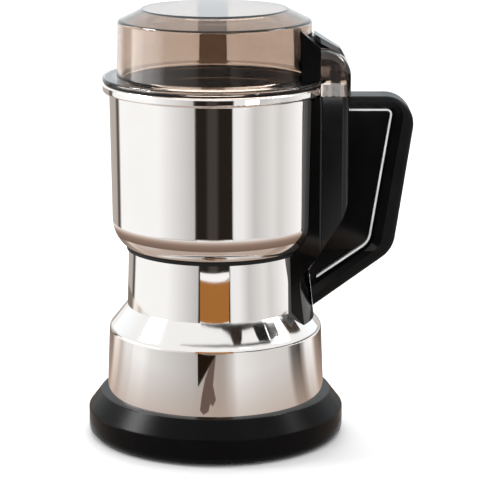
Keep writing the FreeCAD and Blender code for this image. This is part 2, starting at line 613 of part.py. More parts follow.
# Long bolts that clamp lower bracket, stator and upper bracket together
bolts = new_body("motor_bolts")
pad(bolts, "heads", "XY_Plane",
    [[(POST_CIRCLE, 0, BOLT_RADIUS * 1.8)], [(-POST_CIRCLE, 0, BOLT_RADIUS * 1.8)]],
    2.4, raised=arm_bottom - 2.4)
pad(bolts, "shanks", "XY_Plane",
    [[(POST_CIRCLE, 0, BOLT_RADIUS)], [(-POST_CIRCLE, 0, BOLT_RADIUS)]],
    stack_top + (bridge_under - stack_top) * 0.7 - arm_bottom, raised=arm_bottom)
nodes.append(bolts)

# Commutator side: two carbon brushes in brass holders on the lower bracket
COMM_RADIUS = size("CommutatorRadius", 10.5, "radius of the commutator")
COMM_LOW = size("CommutatorBottom", 26.6, "height of the commutator's lower end")
COMM_HIGH = size("CommutatorHeight", 8.6, "height of the commutator")
BRUSH_WIDE = size("BrushWidth", 5, "width and height of a brush")
BRUSH_LONG = size("BrushLength", 11, "length of a brush")
HOLDER_WALL = size("HolderWall", 1, "wall of a brush holder")
HOLDER_LONG = size("HolderLength", 15, "length of a brush holder")

brush_mid = COMM_LOW + COMM_HIGH / 2
holder_start = COMM_RADIUS + 2
holder_half = BRUSH_WIDE / 2 + HOLDER_WALL + RUN
holders = new_body("brush_holders")
holder = pad(holders, "tube", "XZ_Plane",
             [box_loop(-holder_half, arm_top, holder_half, brush_mid + holder_half)],
             HOLDER_LONG, raised=holder_start)
brush_way = cut(holders, "brush_way", "XZ_Plane",
                [box_loop(-(BRUSH_WIDE / 2 + RUN), brush_mid - BRUSH_WIDE / 2 - RUN,
                          BRUSH_WIDE / 2 + RUN, brush_mid + BRUSH_WIDE / 2 + RUN)],
                HOLDER_LONG - HOLDER_WALL, raised=holder_start)
mirror(holders, "pair", [holder, brush_way], "XZ_Plane")
nodes.append(holders)

brushes = new_body("carbon_brushes")
brush = pad(brushes, "brush", "XZ_Plane",
            [box_loop(-(BRUSH_WIDE / 2), brush_mid - BRUSH_WIDE / 2, BRUSH_WIDE / 2,
                      brush_mid + BRUSH_WIDE / 2)],
            BRUSH_LONG, raised=COMM_RADIUS * 0.9)
mirror(brushes, "pair", [brush], "XZ_Plane")
revolve(brushes, "faces", [box_loop(0, COMM_LOW, COMM_RADIUS + RUN, COMM_LOW + COMM_HIGH)], cut=True)
nodes.append(brushes)

# Rotor: shaft, armature, commutator, fan and blade turn together
SHAFT_LOW = size("ShaftBottom", 14.2, "height of the shaft's lower end")
SHAFT_STEP = size("ShaftStep", 95.4, "height of the shoulder that the blade sits on")
SHAFT_THREAD = size("ShaftThreadRadius", 3, "radius of the threaded end")
SHAFT_TOP = size("ShaftTop", 101.5, "height of the shaft's upper end")
shaft = new_body("motor_shaft")
revolve(shaft, "bar", [[
    (0, SHAFT_LOW), (SHAFT_RADIUS - 0.6, SHAFT_LOW), (SHAFT_RADIUS, SHAFT_LOW + 0.6),
    (SHAFT_RADIUS, SHAFT_STEP), (SHAFT_THREAD, SHAFT_STEP),
    (SHAFT_THREAD, SHAFT_TOP), (0, SHAFT_TOP),
]])
nodes.append(shaft)

ARMATURE_RADIUS = size("ArmatureRadius", 18.1, "radius of the armature stack")
ARMATURE_SLOTS = size("ArmatureSlots", 8, "slots in the armature")
SLOT_WIDE = size("ArmatureSlotWidth", 3.6, "width of an armature slot")
SLOT_FLOOR = size("ArmatureSlotFloor", 10.5, "radius of a slot's floor")
END_TURN = size("EndTurnHeight", 5.5, "height of the winding beyond the stack")
armature = new_body("armature_core")
pad(armature, "stack", "XY_Plane", [[(0, 0, ARMATURE_RADIUS)], [(0, 0, SHAFT_RADIUS)]],
    STACK_HIGH, raised=STACK_BOTTOM)
slot = cut(armature, "slot", "XY_Plane",
           [box_loop(SLOT_FLOOR, -(SLOT_WIDE / 2), ARMATURE_RADIUS + 1, SLOT_WIDE / 2)],
           STACK_HIGH + 2, raised=STACK_BOTTOM - 1)
repeat_round(armature, "slots", [slot], ARMATURE_SLOTS)
nodes.append(armature)

winding = new_body("armature_winding")
revolve(winding, "ends", [
    [(SHAFT_RADIUS + 2, stack_top), (ARMATURE_RADIUS - 1.4, stack_top),
     (ARMATURE_RADIUS - 2.4, stack_top + END_TURN), (SHAFT_RADIUS + 3, stack_top + END_TURN)],
    [(SHAFT_RADIUS + 3, STACK_BOTTOM - END_TURN), (ARMATURE_RADIUS - 2.4, STACK_BOTTOM - END_TURN),
     (ARMATURE_RADIUS - 1.4, STACK_BOTTOM), (SHAFT_RADIUS + 2, STACK_BOTTOM)],
])
bar = pad(winding, "bar", "XY_Plane",
          [box_loop(SLOT_FLOOR + RUN, -(SLOT_WIDE / 2 - RUN), ARMATURE_RADIUS - 1.4, SLOT_WIDE / 2 - RUN)],
          STACK_HIGH, raised=STACK_BOTTOM)
repeat_round(winding, "bars", [bar], ARMATURE_SLOTS)
nodes.append(winding)

commutator = new_body("commutator")
pad(commutator, "ring", "XY_Plane", [[(0, 0, COMM_RADIUS)], [(0, 0, SHAFT_RADIUS)]],
    COMM_HIGH, raised=COMM_LOW)
gap = cut(commutator, "gap", "XY_Plane", [box_loop(COMM_RADIUS - 1, -0.3, COMM_RADIUS + 1, 0.3)],
          COMM_HIGH + 2, raised=COMM_LOW - 1)
repeat_round(commutator, "segments", [gap], ARMATURE_SLOTS)
nodes.append(commutator)

# Cooling fan above the armature: swept blades round a hub on a thin disc
FAN_RADIUS = size("FanRadius", 22.5, "radius of the cooling fan")
FAN_LOW = size("FanBottom", 72.4, "height of the fan's underside")
FAN_HIGH = size("FanHeight", 6, "height of the fan's blades")
FAN_DISC = size("FanDisc", 1.4, "thickness of the fan's disc")
FAN_HUB = size("FanHubRadius", 8, "radius of the fan's hub")
FAN_BLADES = size("FanBlades", 9, "number of fan blades")
fan = new_body("cooling_fan")
pad(fan, "disc", "XY_Plane", [[(0, 0, FAN_RADIUS)], [(0, 0, SHAFT_RADIUS)]], FAN_DISC, raised=FAN_LOW)
pad(fan, "hub", "XY_Plane", [[(0, 0, FAN_HUB)], [(0, 0, SHAFT_RADIUS)]], FAN_HIGH, raised=FAN_LOW)
vane = pad(fan, "vane", "XY_Plane", [[
    (FAN_HUB - 1, -0.6), (FAN_RADIUS * 0.62, 2.4), (FAN_RADIUS - 1.2, 8), (FAN_RADIUS - 2.2, 9),
    (FAN_RADIUS * 0.6, 4), (FAN_HUB - 1, 0.8),
]], FAN_HIGH, raised=FAN_LOW)
repeat_round(fan, "vanes", [vane], FAN_BLADES)
nodes.append(fan)

# Screws in the bowl's floor, into the upper bracket
bowl_screws = new_body("bowl_screws")
head = pad(bowl_screws, "head", "XY_Plane", [[(BOWL_SCREW_CIRCLE, 0, SCREW_HEAD)]],
           HEAD_HIGH, raised=bowl_floor_top)
shank = pad(bowl_screws, "shank", "XY_Plane", [[(BOWL_SCREW_CIRCLE, 0, SCREW_RADIUS)]],
            STEEL_WALL + BRIDGE_THICK, raised=bridge_under)
repeat_round(bowl_screws, "screws", [head, shank], BOWL_SCREW_COUNT)
nodes.append(bowl_screws)

# Flanged bush in the bowl's floor, round the shaft
BOWL_BUSH_TOP = size("BowlBushTop", 92.6, "height of the bowl bush's upper end")
BOWL_BUSH_FLANGE = size("BowlBushFlange", 11.5, "radius of the bowl bush's flange")
bowl_bush = new_body("bowl_bush")
revolve(bowl_bush, "ring", [[
    (SHAFT_RADIUS + RUN, BOWL_FLOOR), (BOWL_HOLE - FIT, BOWL_FLOOR),
    (BOWL_HOLE - FIT, bowl_floor_top), (BOWL_BUSH_FLANGE, bowl_floor_top),
    (BOWL_BUSH_FLANGE, bowl_floor_top + 1.2), (SHAFT_RADIUS + 2.4, BOWL_BUSH_TOP),
    (SHAFT_RADIUS + RUN, BOWL_BUSH_TOP),
]])
nodes.append(bowl_bush)

# Blade: one stamped strip, its two wings bent and swept to lift the spice
BLADE_REACH = size("BladeReach", 36, "radius of the blade's tips")
BLADE_THICK = size("BladeThickness", 1.6, "thickness of the blade")
BLADE_ROOT = size("BladeRootWidth", 13, "width of the blade at the shaft")
BLADE_TIP = size("BladeTipWidth", 7, "width of the blade near its tips")
BLADE_LIFT = size("BladeLift", 7, "height that the raised wing gains")
BLADE_DROP = size("BladeDrop", 2.6, "height that the lowered wing loses")
BLADE_FLAT = size("BladeFlat", 9, "half length of the blade's flat middle")
COLLAR_RADIUS = size("BladeCollarRadius", 7, "radius of the collar under the blade")

blade = new_body("blade")
blade_top = SHAFT_STEP + BLADE_THICK
pad(blade, "strip", "XZ_Plane", [[
    (-BLADE_FLAT, SHAFT_STEP), (BLADE_FLAT, SHAFT_STEP),
    (BLADE_REACH, SHAFT_STEP + BLADE_LIFT), (BLADE_REACH, blade_top + BLADE_LIFT),
    (BLADE_FLAT, blade_top), (-BLADE_FLAT, blade_top),
    (-BLADE_REACH, blade_top - BLADE_DROP), (-BLADE_REACH, SHAFT_STEP - BLADE_DROP),
]], BLADE_ROOT * 1.6, both=True)
sweep = BLADE_ROOT * 0.8
cut(blade, "leading_edge", "XY_Plane", [[
    (BLADE_FLAT, -(BLADE_ROOT / 2)), (BLADE_REACH, sweep - BLADE_TIP),
    (BLADE_REACH * 1.1, sweep - BLADE_TIP), (BLADE_REACH * 1.1, -BLADE_ROOT),
    (-(BLADE_REACH * 1.1), -BLADE_ROOT), (-(BLADE_REACH * 1.1), -sweep),
    (-BLADE_FLAT, -(BLADE_ROOT / 2)),
]], BLADE_LIFT * 4, raised=SHAFT_STEP - BLADE_LIFT)
cut(blade, "trailing_edge", "XY_Plane", [[
    (BLADE_FLAT, BLADE_ROOT / 2), (BLADE_REACH * 1.1, sweep), (BLADE_REACH * 1.1, BLADE_ROOT),
    (-(BLADE_REACH * 1.1), BLADE_ROOT), (-(BLADE_REACH * 1.1), BLADE_TIP - sweep),
    (-BLADE_REACH, BLADE_TIP - sweep), (-BLADE_FLAT, BLADE_ROOT / 2),
]], BLADE_LIFT * 4, raised=SHAFT_STEP - BLADE_LIFT)
cut(blade, "hole", "XY_Plane", [[(0, 0, SHAFT_THREAD)]], BLADE_THICK * 3, raised=SHAFT_STEP - BLADE_THICK)
nodes.append(blade)

collar = new_body("blade_collar")
revolve(collar, "ring", [[
    (SHAFT_RADIUS, BOWL_BUSH_TOP + 0.4), (COLLAR_RADIUS, BOWL_BUSH_TOP + 0.4),
    (COLLAR_RADIUS, SHAFT_STEP), (SHAFT_RADIUS, SHAFT_STEP),
]])
nodes.append(collar)

NUT_ACROSS = size("BladeNutAcross", 10, "width of the blade nut across its flats")
NUT_HIGH = size("BladeNutHeight", 3.4, "height of the nut's hexagon")
NUT_DOME = size("BladeNutDome", 4, "height of the nut's dome")


def hexagon(across):
    """Corners of a hexagon with two flats along Y."""
    r = across / 1.7320508
    return [(r, 0), (r / 2, across / 2), (-(r / 2), across / 2), (-r, 0),
            (-(r / 2), -(across / 2)), (r / 2, -(across / 2))]


nut = new_body("blade_nut")
pad(nut, "hexagon", "XY_Plane", [hexagon(NUT_ACROSS)], NUT_HIGH, raised=blade_top)
revolve(nut, "dome", [[
    (0, blade_top + NUT_HIGH - 0.5), (NUT_ACROSS * 0.42, blade_top + NUT_HIGH - 0.5),
    (NUT_ACROSS * 0.42, blade_top + NUT_HIGH + NUT_DOME, NUT_ACROSS * 0.25),
    (0, blade_top + NUT_HIGH + NUT_DOME),
]])
cut(nut, "thread", "XY_Plane", [[(0, 0, SHAFT_THREAD)]], SHAFT_TOP + 0.3 - blade_top, raised=blade_top)
nodes.append(nut)

# Column back: the moulded saddle behind the bowl, running down the neck as a foot
BACK_HALF = size("ColumnBackHalfWidth", 21, "half width of the saddle")
BACK_FACE = size("ColumnBackFace", 48.9, "distance of the saddle's flat face from the axis")
COLUMN_TOP = size("ColumnTop", 162.4, "height of the column's top")
FRONT_FACE = size("ColumnFrontFace", 61.3, "distance of the column's outer face from the axis")
FRONT_HALF = size("ColumnFrontHalfWidth", 20, "half width of the column's front")
FRONT_TAPER = size("ColumnTaper", 1.2, "half width lost towards the outer face")
FRONT_EDGE = size("ColumnEdgeRound", 3.5, "rounding of the column's outer edges")
SWEEP_TOP = size("SweepTop", 109.8, "height where the outer face turns in")
SWEEP_TOP_ROUND = size("SweepTopRound", 26, "rounding of the upper turn")
SWEEP_LOW = size("SweepLow", 82.4, "height where the sweep meets the foot")
SWEEP_LOW_ROUND = size("SweepLowRound", 22, "rounding of the lower turn")
FOOT_FACE = size("FootFace", 43.3, "distance of the foot's outer face from the axis")
FOOT_END_FACE = size("FootEndFace", 46.6, "distance of the foot's outer face at its end")
FOOT_END = size("FootEnd", 53.5, "height of the foot's lowest point")
FOOT_OUTER = size("FootOuterRadius", 44.1, "radius of the foot round the neck")


def sweep_outline(shift):
    """The column's outer face, seen from the side, from the top down."""
    return [
        (FRONT_FACE + shift, SWEEP_TOP, SWEEP_TOP_ROUND),
        (FOOT_FACE + shift, SWEEP_LOW, SWEEP_LOW_ROUND),
        (FOOT_END_FACE + shift, FOOT_END),
    ]


back = new_body("column_back")
pad(back, "block", "XY_Plane", [[
    (20, -BACK_HALF), (BACK_FACE, -BACK_HALF, 1), (BACK_FACE, BACK_HALF, 1), (20, BACK_HALF),
]], COLUMN_TOP - FOOT_END, raised=FOOT_END)
cut(back, "sweep", "XZ_Plane", [
    sweep_outline(as_size(0)) + [(FOOT_END_FACE, FOOT_END - 5), (FRONT_FACE + 20, FOOT_END - 5),
                                 (FRONT_FACE + 20, COLUMN_TOP + 5), (FRONT_FACE, COLUMN_TOP + 5)]
], BACK_HALF * 4, both=True)
revolve(back, "foot_round", [[
    (FOOT_END_FACE + 0.4, FOOT_END - 3), (FOOT_OUTER, SWEEP_LOW - 5, 8),
    (FOOT_OUTER + 6.5, SWEEP_LOW + 4.5), (FRONT_FACE, SWEEP_LOW + 4.5), (FRONT_FACE, FOOT_END - 3),
]], cut=True)
STUD_LOW = size("StudLow", 118, "height of the lower weld stud on the bowl")
STUD_HIGH = size("StudHigh", 129, "height of the upper weld stud on the bowl")
STUD_RADIUS = size("StudRadius", 1.9, "radius of a weld stud")
STUD_PAD = size("StudPadRadius", 5.2, "radius of the pads round the studs")
STUD_PAD_HIGH = size("StudPadHeight", 2, "height of the pads round the studs")
pad(back, "stud_pads", "YZ_Plane", [[(0, STUD_LOW, STUD_PAD)], [(0, STUD_HIGH, STUD_PAD)]],
    STUD_PAD_HIGH + 1, raised=BACK_FACE - 1)
revolve(back, "steel_seat", [
    [(0, FOOT_END - 20), (DRUM_BOTTOM_RADIUS + FIT, FOOT_END - 20)]
    + housing_outline(FIT)[1:3]
    + [(NECK_TOP_RADIUS + FIT, NECK_TOP), (SEAL_OUTER + FIT, NECK_TOP), (SEAL_OUTER + FIT, NECK_TOP + 2.2),
       (0, NECK_TOP + 2.2)],
], cut=True)
revolve(back, "bowl_seat", [
    bowl_outline(FIT) + [(BOWL_TOP_RADIUS + FIT, COLUMN_TOP + 5), (0, COLUMN_TOP + 5)],
], cut=True)
revolve(back, "rim_relief", [
    box_loop(BOWL_TOP_RADIUS - 5, RIM_BOTTOM - 1.5, BOWL_TOP_RADIUS + 1, COLUMN_TOP + 5),
], cut=True)
cut(back, "stud_holes", "YZ_Plane", [
    [(0, STUD_LOW, STUD_RADIUS + FIT)], [(0, STUD_HIGH, STUD_RADIUS + FIT)],
], base_radius)
SEAM_SCREW_Y = size("SeamScrewOffset", 15.6, "distance of the seam screws from the middle")
SEAM_SCREW_LOW = size("SeamScrewLow", 126, "height of the lower seam screws")
SEAM_SCREW_HIGH = size("SeamScrewHigh", 148, "height of the upper seam screws")
SEAM_HEAD = size("SeamHeadHeight", 1.2, "height of a seam screw's head")
seam_head_end = BACK_FACE - 1.2
cut(back, "seam_holes", "YZ_Plane", [
    [(side * SEAM_SCREW_Y, high, SCREW_RADIUS + FIT)]
    for side in (-1, 1) for high in (SEAM_SCREW_LOW, SEAM_SCREW_HIGH)
], base_radius)
cut(back, "seam_sinks", "YZ_Plane", [
    [(side * SEAM_SCREW_Y, high, SCREW_HEAD + FIT)]
    for side in (-1, 1) for high in (SEAM_SCREW_LOW, SEAM_SCREW_HIGH)
], seam_head_end)
cut(back, "foot_holes", "YZ_Plane", [
    [(0, FOOT_SCREW_LOW, SCREW_RADIUS + RUN)], [(0, FOOT_SCREW_HIGH, SCREW_RADIUS + RUN)],
], FOOT_FACE - 0.5)
nodes.append(back)

# Weld studs on the bowl and their nuts, hidden in the column
STUD_LONG = size("StudLength", 6.6, "length of a weld stud outside the bowl")
NUT_THICK = size("StudNutThickness", 2.6, "thickness of a stud nut")
NUT_RADIUS = size("StudNutAcross", 7, "width of a stud nut across its flats")
studs = new_body("bowl_studs")
pad(studs, "studs", "YZ_Plane", [[(0, STUD_LOW, STUD_RADIUS)], [(0, STUD_HIGH, STUD_RADIUS)]],
    STUD_LONG + 4, raised=BOWL_TOP_RADIUS - 4)
revolve(studs, "foot", [bowl_outline(as_size(0)) + [(0, RIM_BOTTOM)]], cut=True)
nodes.append(studs)
stud_nuts = new_body("stud_nuts")
for part_name, high in (("low", STUD_LOW), ("high", STUD_HIGH)):
    pad(stud_nuts, part_name, "YZ_Plane", [
        [(x, y + high) for x, y in hexagon(NUT_RADIUS)], [(0, high, STUD_RADIUS)],
    ], NUT_THICK, raised=BACK_FACE + STUD_PAD_HIGH)
nodes.append(stud_nuts)

# Screws from inside the neck into the foot
foot_screws = new_body("foot_screws")
neck_inside = NECK_TOP_RADIUS - STEEL_WALL - 0.4
pad(foot_screws, "heads", "YZ_Plane", [
    [(0, FOOT_SCREW_LOW, SCREW_HEAD)], [(0, FOOT_SCREW_HIGH, SCREW_HEAD)],
], HEAD_HIGH, raised=neck_inside - HEAD_HIGH)
pad(foot_screws, "shanks", "YZ_Plane", [
    [(0, FOOT_SCREW_LOW, SCREW_RADIUS)], [(0, FOOT_SCREW_HIGH, SCREW_RADIUS)],
], FOOT_FACE - 0.8 - neck_inside, raised=neck_inside)
nodes.append(foot_screws)

# Handle body: the column's hollow front and the bow, one moulding
FRONT_WALL = size("ColumnWall", 2.2, "wall of the column's front")
SEAM_GAP = size("SeamGap", 0.1, "gap at the seam between the column's halves")
HANDLE_HALF = size("HandleHalfWidth", 9, "half width of the bow")
HANDLE_TOP = size("HandleTop", 161, "height of the bow's top")
BOW_TOP_X = size("BowTopReach", 93.4, "reach of the bow's upper outer corner")
BOW_TOP_ROUND = size("BowTopRound", 13, "rounding of the upper outer corner")
BOW_LOW_X = size("BowLowReach", 82.7, "reach of the bow's lower outer corner")
BOW_LOW_Z = size("BowLowHeight", 88.9, "height of the bow's lower outer corner")
BOW_LOW_ROUND = size("BowLowRound", 15, "rounding of the lower outer corner")
BOW_END_Z = size("BowEndHeight", 60.4, "height of the lower arm's underside at the foot")
GRIP_TOP = size("GripTopThickness", 2.2, "thickness of the grip on the top arm")
GRIP_SIDE = size("GripSideThickness", 5.8, "thickness of the grip on the upright bar")
GRIP_LOW = size("GripLowThickness", 4.6, "thickness of the grip on the lower arm")
WINDOW_TOP = size("WindowTop", 155.2, "height of the window's upper edge")
WINDOW_TOP_X = size("WindowTopReach", 81.9, "reach of the window's upper corner")
WINDOW_LOW_X = size("WindowLowReach", 71.9, "reach of the window's lower corner")
WINDOW_LOW_Z = size("WindowLowHeight", 92.2, "height of the window's lower corner")
WINDOW_END_Z = size("WindowEndHeight", 71.9, "height of the window's lowest point at the foot")
WINDOW_TOP_ROUND = size("WindowTopRound", 2.5, "rounding of the window's upper corner")
WINDOW_LOW_ROUND = size("WindowLowRound", 9, "rounding of the window's lower corner")

handle = new_body("handle_body")
pad(handle, "front", "XY_Plane", [[
    (BACK_FACE + SEAM_GAP, -FRONT_HALF), (FRONT_FACE, FRONT_TAPER - FRONT_HALF, FRONT_EDGE),
    (FRONT_FACE, FRONT_HALF - FRONT_TAPER, FRONT_EDGE), (BACK_FACE + SEAM_GAP, FRONT_HALF),
]], COLUMN_TOP - SWEEP_LOW + 4, raised=SWEEP_LOW - 4)
cut(handle, "sweep", "XZ_Plane", [
    sweep_outline(as_size(0)) + [(FOOT_END_FACE, FOOT_END - 5), (FRONT_FACE + 20, FOOT_END - 5),
                                 (FRONT_FACE + 20, COLUMN_TOP + 5), (FRONT_FACE, COLUMN_TOP + 5)]
], BACK_HALF * 4, both=True)
pad(handle, "bow", "XZ_Plane", [[
    (FRONT_FACE - 3, HANDLE_TOP - GRIP_TOP),
    (BOW_TOP_X - GRIP_SIDE, HANDLE_TOP - GRIP_TOP, BOW_TOP_ROUND - GRIP_SIDE),
    (BOW_LOW_X - GRIP_SIDE, BOW_LOW_Z + GRIP_LOW * 0.45, BOW_LOW_ROUND - GRIP_LOW),
    (FOOT_FACE - 2, BOW_END_Z + GRIP_LOW * 1.25 - 2.2),
    (FOOT_FACE - 2, WINDOW_END_Z - 1.5),
    (WINDOW_LOW_X, WINDOW_LOW_Z, WINDOW_LOW_ROUND),
    (WINDOW_TOP_X, WINDOW_TOP, WINDOW_TOP_ROUND),
    (FRONT_FACE - 3, WINDOW_TOP),
]], HANDLE_HALF * 2, both=True)
WINDOW_CHAMFER = size("WindowChamfer", 1.3, "chamfer along the window's edges")
CAVITY_LOW = size("CavityLow", 112, "height of the cavity's floor in the column")
CAVITY_HALF = size("CavityHalfWidth", 12, "half width of the column's cavity")
PLUNGER_X = size("PlungerReach", 55, "distance of the switch plunger from the axis")
PLUNGER_RADIUS = size("PlungerRadius", 2, "radius of the switch plunger")

foot_seat = [
    (FOOT_END_FACE + SEAM_GAP, FOOT_END), (FOOT_FACE + SEAM_GAP, SWEEP_LOW), (FOOT_FACE - 15, SWEEP_LOW),
    (FOOT_FACE - 15, FOOT_END),
]
cut(handle, "foot_seat", "XZ_Plane", [foot_seat], HANDLE_HALF * 4, both=True)
doc.recompute()


def edge_names(feature, test):
    """Names of the edges whose middle passes the test."""
    found = []
    for i, edge in enumerate(feature.Shape.Edges):
        middle = edge.valueAt((edge.FirstParameter + edge.LastParameter) / 2)
        if test(edge, middle):
            found.append(f"Edge{i + 1}")
    return found


def on_window_edge(edge, p):
    """True on the window's outline at both sides of the bow."""
    inside_bow = p.x > FOOT_FACE.value + 3 and p.z < WINDOW_TOP.value + 0.01
    outer_x = BOW_LOW_X.value + (p.z - BOW_LOW_Z.value) * 0.149 - GRIP_SIDE.value - 2
    arm_z = BOW_END_Z.value + (p.x - FOOT_FACE.value) * 0.72 + GRIP_LOW.value * 1.25 + 2
    flat = abs(abs(p.y) - HANDLE_HALF.value) < 1e-6
    straight = edge.BoundBox.YLength < 1e-6
    return flat and straight and inside_bow and p.x < outer_x and p.z > arm_z and (
        p.x > WINDOW_LOW_X.value - 25 or p.z < WINDOW_LOW_Z.value)


bow = handle.Tip
chamfer = handle.newObject("PartDesign::Chamfer", "handle_body_window_chamfer")
chamfer.Base = (bow, edge_names(bow, on_window_edge))
chamfer.Size = WINDOW_CHAMFER.value
chamfer.setExpression("Size", WINDOW_CHAMFER.text)
handle.Tip = chamfer
doc.recompute()
cut(handle, "cavity", "XY_Plane", [
    box_loop(BACK_FACE - 1, -CAVITY_HALF, FRONT_FACE - FRONT_WALL, CAVITY_HALF)
], COLUMN_TOP - FRONT_WALL - CAVITY_LOW, raised=CAVITY_LOW)
cut(handle, "plunger_hole", "XY_Plane", [[(PLUNGER_X, 0, PLUNGER_RADIUS + SLIDE)]],
    FRONT_WALL * 4, raised=COLUMN_TOP - FRONT_WALL * 2)
SEAM_BORE = size("SeamBoreDepth", 8, "depth of the pilot holes for the seam screws")
cut(handle, "seam_bores", "YZ_Plane", [
    [(side * SEAM_SCREW_Y, high, SCREW_RADIUS + RUN)]
    for side in (-1, 1) for high in (SEAM_SCREW_LOW, SEAM_SCREW_HIGH)
], BACK_FACE + SEAM_BORE)
SWITCH_SCREW_Y = size("SwitchScrewOffset", 4.8, "distance of the switch screws from the middle")
SWITCH_TOP = size("SwitchTop", 149.4, "height of the switch's top")
SWITCH_HIGH = size("SwitchHeight", 10, "height of the switch")
SWITCH_LONG = size("SwitchLength", 19.8, "length of the switch")
SWITCH_DEEP = size("SwitchDepth", 6.2, "depth of the switch")
switch_screw_z = SWITCH_TOP - SWITCH_HIGH * 0.6
front_inside = FRONT_FACE - FRONT_WALL
cut(handle, "switch_bores", "YZ_Plane", [
    [(side * SWITCH_SCREW_Y, switch_screw_z, SCREW_RADIUS * 0.8 + RUN)] for side in (-1, 1)
], front_inside + FRONT_WALL * 0.75)
nodes.append(handle)

# Screws through the saddle into the column's front, heads hidden by the bowl
seam_screws = new_body("seam_screws")
pad(seam_screws, "heads", "YZ_Plane", [
    [(side * SEAM_SCREW_Y, high, SCREW_HEAD)]
    for side in (-1, 1) for high in (SEAM_SCREW_LOW, SEAM_SCREW_HIGH)
], SEAM_HEAD * 2, raised=seam_head_end - SEAM_HEAD * 2)
pad(seam_screws, "shanks", "YZ_Plane", [
    [(side * SEAM_SCREW_Y, high, SCREW_RADIUS)]
    for side in (-1, 1) for high in (SEAM_SCREW_LOW, SEAM_SCREW_HIGH)
], BACK_FACE + SEAM_BORE - 1 - seam_head_end, raised=seam_head_end)
revolve(seam_screws, "head_trim", [bowl_outline(FIT) + [(0, RIM_BOTTOM)]], cut=True)
nodes.append(seam_screws)

# Grip: matte soft cover along the outside of the bow
GRIP_EDGE = size("GripEdgeRound", 3, "rounding of the grip's outer edges")
grip = new_body("handle_grip")
pad(grip, "band", "XZ_Plane", [[
    (FRONT_FACE + SEAM_GAP, HANDLE_TOP - GRIP_TOP), (FRONT_FACE + SEAM_GAP, HANDLE_TOP),
    (BOW_TOP_X, HANDLE_TOP, BOW_TOP_ROUND), (BOW_LOW_X, BOW_LOW_Z, BOW_LOW_ROUND),
    (FOOT_FACE - 2, BOW_END_Z - 1.5), (FOOT_FACE - 2, BOW_END_Z + GRIP_LOW * 1.25 - 2.2),
    (BOW_LOW_X - GRIP_SIDE, BOW_LOW_Z + GRIP_LOW * 0.45, BOW_LOW_ROUND - GRIP_LOW),
    (BOW_TOP_X - GRIP_SIDE, HANDLE_TOP - GRIP_TOP, BOW_TOP_ROUND - GRIP_SIDE),
]], HANDLE_HALF * 2, both=True)
cut(grip, "foot_seat", "XZ_Plane", [foot_seat], HANDLE_HALF * 4, both=True)
doc.recompute()


def on_grip_outside(edge, p):
    """True on the long outer edges of the bow's upright bar and lower arm."""
    flat = abs(abs(p.y) - HANDLE_HALF.value) < 1e-6 and edge.BoundBox.YLength < 1e-6
    outer_x = BOW_LOW_X.value + (p.z - BOW_LOW_Z.value) * 0.149 - GRIP_SIDE.value * 0.5
    arm_z = BOW_END_Z.value + (p.x - FOOT_FACE.value) * 0.73 + GRIP_LOW.value * 0.4
    top = p.z > HANDLE_TOP.value - 1e-3
    return flat and edge.Length > 3 and (top or p.x > outer_x or p.z < arm_z)


band = grip.Tip
round_off = grip.newObject("PartDesign::Fillet", "handle_grip_round")
round_off.Base = (band, edge_names(band, on_grip_outside))
round_off.Radius = min(GRIP_EDGE.value, GRIP_TOP.value * 0.9)
round_off.setExpression("Radius", "min(Sizes.GripEdgeRound; Sizes.GripTopThickness * 0.9)")
grip.Tip = round_off
nodes.append(grip)

# Web: the recessed panel that closes the bow's window
WEB_HALF = size("WebHalfThickness", 5, "half thickness of the panel in the window")
window_outline = [
    (FRONT_FACE + SEAM_GAP, WINDOW_TOP - SEAM_GAP),
    (WINDOW_TOP_X - SEAM_GAP, WINDOW_TOP - SEAM_GAP, WINDOW_TOP_ROUND),
    (WINDOW_LOW_X - SEAM_GAP, WINDOW_LOW_Z + SEAM_GAP, WINDOW_LOW_ROUND),
]
web = new_body("handle_web")
pad(web, "panel", "XZ_Plane", [window_outline + [
    (FOOT_FACE + SEAM_GAP + (SWEEP_LOW - WINDOW_END_Z) * (FOOT_END_FACE - FOOT_FACE) / (SWEEP_LOW - FOOT_END),
     WINDOW_END_Z + SEAM_GAP * 2 + 0.9),
    (FOOT_FACE + SEAM_GAP, SWEEP_LOW, SWEEP_LOW_ROUND),
    (FRONT_FACE + SEAM_GAP, SWEEP_TOP, SWEEP_TOP_ROUND),
]], WEB_HALF * 2, both=True)
nodes.append(web)

# Trim: a bright strip along the window on both sides
TRIM_WIDE = size("TrimWidth", 0.9, "width of the bright strip")
TRIM_PROUD = size("TrimProud", 2.4, "height of the bright strip above the panel")
trim_end_x = FOOT_FACE + 4
trim_end_z = WINDOW_END_Z + 3.5
trim = new_body("handle_trim")
strip = pad(trim, "strip", "XZ_Plane", [window_outline + [
    (trim_end_x, trim_end_z), (trim_end_x, trim_end_z + TRIM_WIDE * 1.25),
    (WINDOW_LOW_X - TRIM_WIDE, WINDOW_LOW_Z + TRIM_WIDE * 0.75, WINDOW_LOW_ROUND - TRIM_WIDE),
    (WINDOW_TOP_X - TRIM_WIDE * 1.15, WINDOW_TOP - SEAM_GAP - TRIM_WIDE, WINDOW_TOP_ROUND - TRIM_WIDE),
    (FRONT_FACE + SEAM_GAP, WINDOW_TOP - SEAM_GAP - TRIM_WIDE),
]], TRIM_PROUD, raised=WEB_HALF)
mirror(trim, "pair", [strip], "XZ_Plane")
nodes.append(trim)

